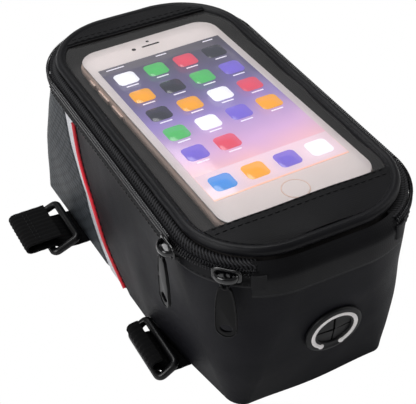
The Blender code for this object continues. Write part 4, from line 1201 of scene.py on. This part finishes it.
def make_strap(name):
    """Ribbed webbing: under the base, through the ring, and folded back on itself as a sewn loop."""
    strap, ring = name + "_strap", name + "_strap_ring"
    low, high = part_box(strap)
    ring_low, ring_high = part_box(ring)
    middle_y = (low.y + high.y) / 2 / MM
    width = (high.y - low.y) / MM
    left, right = low.x / MM, high.x / MM
    ring_x = (ring_low.x + ring_high.x) / 2 / MM
    side_inset, level_inset, bar_radius = 1.2, 1.8, 1.75    # the ring's bar inside the node's box
    spread = (ring_high.x - ring_low.x) / 2 / MM - side_inset
    thick, top = 1.6, high.z / MM
    level = thick / 2
    bend = 2.2
    lift = top - thick / 2 - 2 * bend
    route = [(right, level), (ring_x + spread + 1.0, level), (ring_x + 1.0, level + 0.5),
             (ring_x - spread + 1.2, lift), (ring_x - spread - 1.2, lift)]
    centre_x, centre_z = left + bend + thick / 2, lift + bend
    route += [(centre_x + bend * cos(a), centre_z + bend * sin(a))
              for a in steps(radians(270.0), radians(90.0), 12)]
    route.append((ring_x - 1.0, centre_z + bend))
    path = [Vector((x, 0, z)) for x, z in route]
    fine = []
    for a, b in zip(path, path[1:]):
        pieces = max(1, round((b - a).length / 0.8))
        fine += [a.lerp(b, k / pieces) for k in range(pieces)]
    fine.append(path[-1])
    for _ in range(3):
        inner = [(a + b * 2 + c) / 4 for a, b, c in zip(fine, fine[1:], fine[2:])]
        fine = [fine[0]] + inner + [fine[-1]]
    run = lengths_along(fine)
    section = []
    ribs, per_rib = 9, 6
    for k in range(ribs * per_rib + 1):
        y = -width / 2 + width * k / (ribs * per_rib)
        edge = min(1.0, (width / 2 - abs(y)) / 0.7)
        rib = thick / 2 - 0.22 + 0.17 * cos(2 * pi * k / per_rib)
        section.append((y, rib * (0.35 + 0.65 * edge ** 0.5)))
    around = section + [(y, -h) for y, h in reversed(section)]
    count = len(around)

    def place(u, v):
        k = round(u * (len(fine) - 1))
        p = fine[k]
        along = (fine[min(k + 1, len(fine) - 1)] - fine[max(k - 1, 0)]).normalized()
        up = Vector((-along.z, 0, along.x))
        y, h = around[round(v * count) % count]
        cross_rib = 0.05 * sin(run[k] * 2 * pi) * (1 if h > 0 else -1)
        q = p - up * (h + cross_rib)
        return (q.x, middle_y + y, q.z)

    obj = shaped_grid(len(fine) - 1, count, place, size=(run[-1], 2 * width), merge=True)
    close_ends()
    close_normals(obj)
    finish_piece(obj, strap + "_webbing", "bag", nylon_webbing, 60.0)
    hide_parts(strap)

    top_z = top - 0.05
    for number, x in enumerate((left + 6.5, left + 8.3)):
        if x < ring_x - spread - 2.0:
            row = [(x, middle_y + y, top_z) for y in steps(2.2 - width / 2, width / 2 - 2.2, 20)]
            sew(f"{strap}_tack_{number + 1}", row, 2.2, 1.6, "bag", 0.22)

    half_y = (ring_high.y - ring_low.y) / 2 / MM - side_inset
    low_z, high_z = ring_low.z / MM + level_inset, ring_high.z / MM - level_inset
    corners = [(ring_x - spread, -half_y, low_z), (ring_x + spread, -half_y, high_z),
               (ring_x + spread, half_y, high_z), (ring_x - spread, half_y, low_z)]
    points = []
    for k, corner in enumerate(corners):
        before, here, after = Vector(corners[k - 1]), Vector(corner), Vector(corners[(k + 1) % 4])
        r = min(2.6, (before - here).length * 0.3, (after - here).length * 0.3)
        a = here + (before - here).normalized() * r
        b = here + (after - here).normalized() * r
        points += [a.lerp(here, s).lerp(here.lerp(b, s), s) for s in steps(0.0, 1.0, 6)]
    moved = [(p.x, middle_y + p.y, p.z) for p in points]
    bar = tube(moved, bar_radius, 12, closed=True)
    finish_piece(bar, ring + "_bar", "bag", acetal, 60.0)
    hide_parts(ring)


# Pieces that keep their CAD shape

def restyle(node, look):
    """Give a node that is shown as it is its scene material."""
    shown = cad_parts[node]
    shown.data.materials.clear()
    shown.data.materials.append(look)


# Light, floor and camera

def area_light(name, place, aim, size, watts):
    """A rectangular softbox aimed at a point; places and size are in metres."""
    data = bpy.data.lights.new(name, "AREA")
    data.shape, data.size, data.size_y = "RECTANGLE", size[0], size[1]
    data.energy = watts
    lamp = bpy.data.objects.new(name, data)
    lamp.location = place
    lamp.rotation_euler = (Vector(aim) - Vector(place)).to_track_quat("-Z", "Y").to_euler()
    bpy.context.scene.collection.objects.link(lamp)


def make_stage():
    """A white floor and world, plain white to the camera and softer as light, with three softboxes."""
    plain_white = {"Color": (1.0, 1.0, 1.0, 1.0), "Strength": 1.0}
    look, tree, shader = new_look("floor_paper", "#f4f4f5", 0.9)
    emit = add(tree, "ShaderNodeEmission", plain_white)
    seen = add(tree, "ShaderNodeLightPath").outputs["Is Camera Ray"]
    mix = add(tree, "ShaderNodeMixShader", i0=seen, i1=shader.outputs[0], i2=emit.outputs[0])
    tree.links.new(mix.outputs[0], tree.nodes["Material Output"].inputs["Surface"])
    bpy.ops.mesh.primitive_plane_add(size=6.0, location=(0, 0, -0.0002))
    floor = bpy.context.object
    floor.name = "floor"
    floor.data.materials.append(look)

    world = bpy.data.worlds.new("studio")
    bpy.context.scene.world = world
    world.use_nodes = True
    tree = world.node_tree
    ground = tree.nodes["Background"]
    ground.inputs["Color"].default_value = (1.0, 1.0, 1.0, 1.0)
    ground.inputs["Strength"].default_value = 0.25
    white = add(tree, "ShaderNodeBackground", plain_white)
    seen = add(tree, "ShaderNodeLightPath").outputs["Is Camera Ray"]
    mix = add(tree, "ShaderNodeMixShader", i0=seen, i1=ground.outputs[0], i2=white.outputs[0])
    tree.links.new(mix.outputs[0], tree.nodes["World Output"].inputs["Surface"])

    area_light("softbox_left", (-1.0, -0.2, 0.7), (0, 0, 0.05), (0.6, 0.6), 8.0)
    area_light("softbox_top", (-0.1, 0.45, 1.0), (0, 0, 0.06), (0.8, 0.5), 7.5)
    area_light("softbox_right", (0.95, -0.25, 0.6), (0, 0, 0.05), (0.3, 0.6), 2.0)


def make_camera():
    """The photo's camera: a pinhole fitted to the corners of the phone's screen, placed above its level."""
    data = bpy.data.cameras.new("camera")
    camera = bpy.data.objects.new("camera", data)
    bpy.context.scene.collection.objects.link(camera)
    data.sensor_width, data.lens = 36.0, 95.2
    data.clip_start, data.clip_end = 0.01, 20.0
    right = Vector((0.8788, -0.4758, -0.0368))
    up = Vector((0.3221, 0.5346, 0.7813))
    back = Vector((-0.352, -0.6985, 0.6231))
    x, y, _ = middle_of("phone_shell")
    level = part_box("phone_screen")[1].z / MM
    turn = Matrix.Rotation(PHONE_TURN, 4, "Z")
    place = Matrix.Translation((x * MM, y * MM, level * MM)) @ turn @ Matrix.Translation(
        Vector((-171.5, -329.0, 247.6)) * MM)
    camera.matrix_world = place @ turned_to(right, up, back)
    bpy.context.scene.camera = camera
    bpy.context.scene.view_settings.view_transform = "Standard"


def make_bag():
    """Every piece of the bag, in the order in which the frame's nodes are replaced."""
    make_walls()
    make_rim_facing()
    make_zip()
    make_hinge_strip()
    make_binding()
    under_binding = BINDING_INSET + BINDING_WIDTH - 0.8
    band_piece("port_end_band", "front_band", NEAR_Y + under_binding, FRONT_EDGE_Y, True)
    band_piece("far_end_band", "rear_band", REAR_EDGE_Y, FAR_Y - under_binding, False)
    make_film()
    make_phone()
    make_slider(1, (-HALF_WIDTH, middle_of("slider_1")[1]), (-1.0, 0.0))
    angle = radians(-134.0)     # where slider 2 sits on the near left corner
    place = (-HALF_WIDTH + CORNER_NEAR * (1.0 + cos(angle)), NEAR_Y + CORNER_NEAR * (1.0 + sin(angle)))
    make_slider(2, place, (cos(angle), sin(angle)))
    make_port()
    for name in ("far", "near"):
        make_strap(name)
    for node in ("lining", "phone_pocket", "pocket_flap"):
        restyle(node, brushed_lining)
    restyle("base_panel", coated_polyester)
    restyle("grip_pad", moulded_rubber)


make_bag()
make_stage()
make_camera()
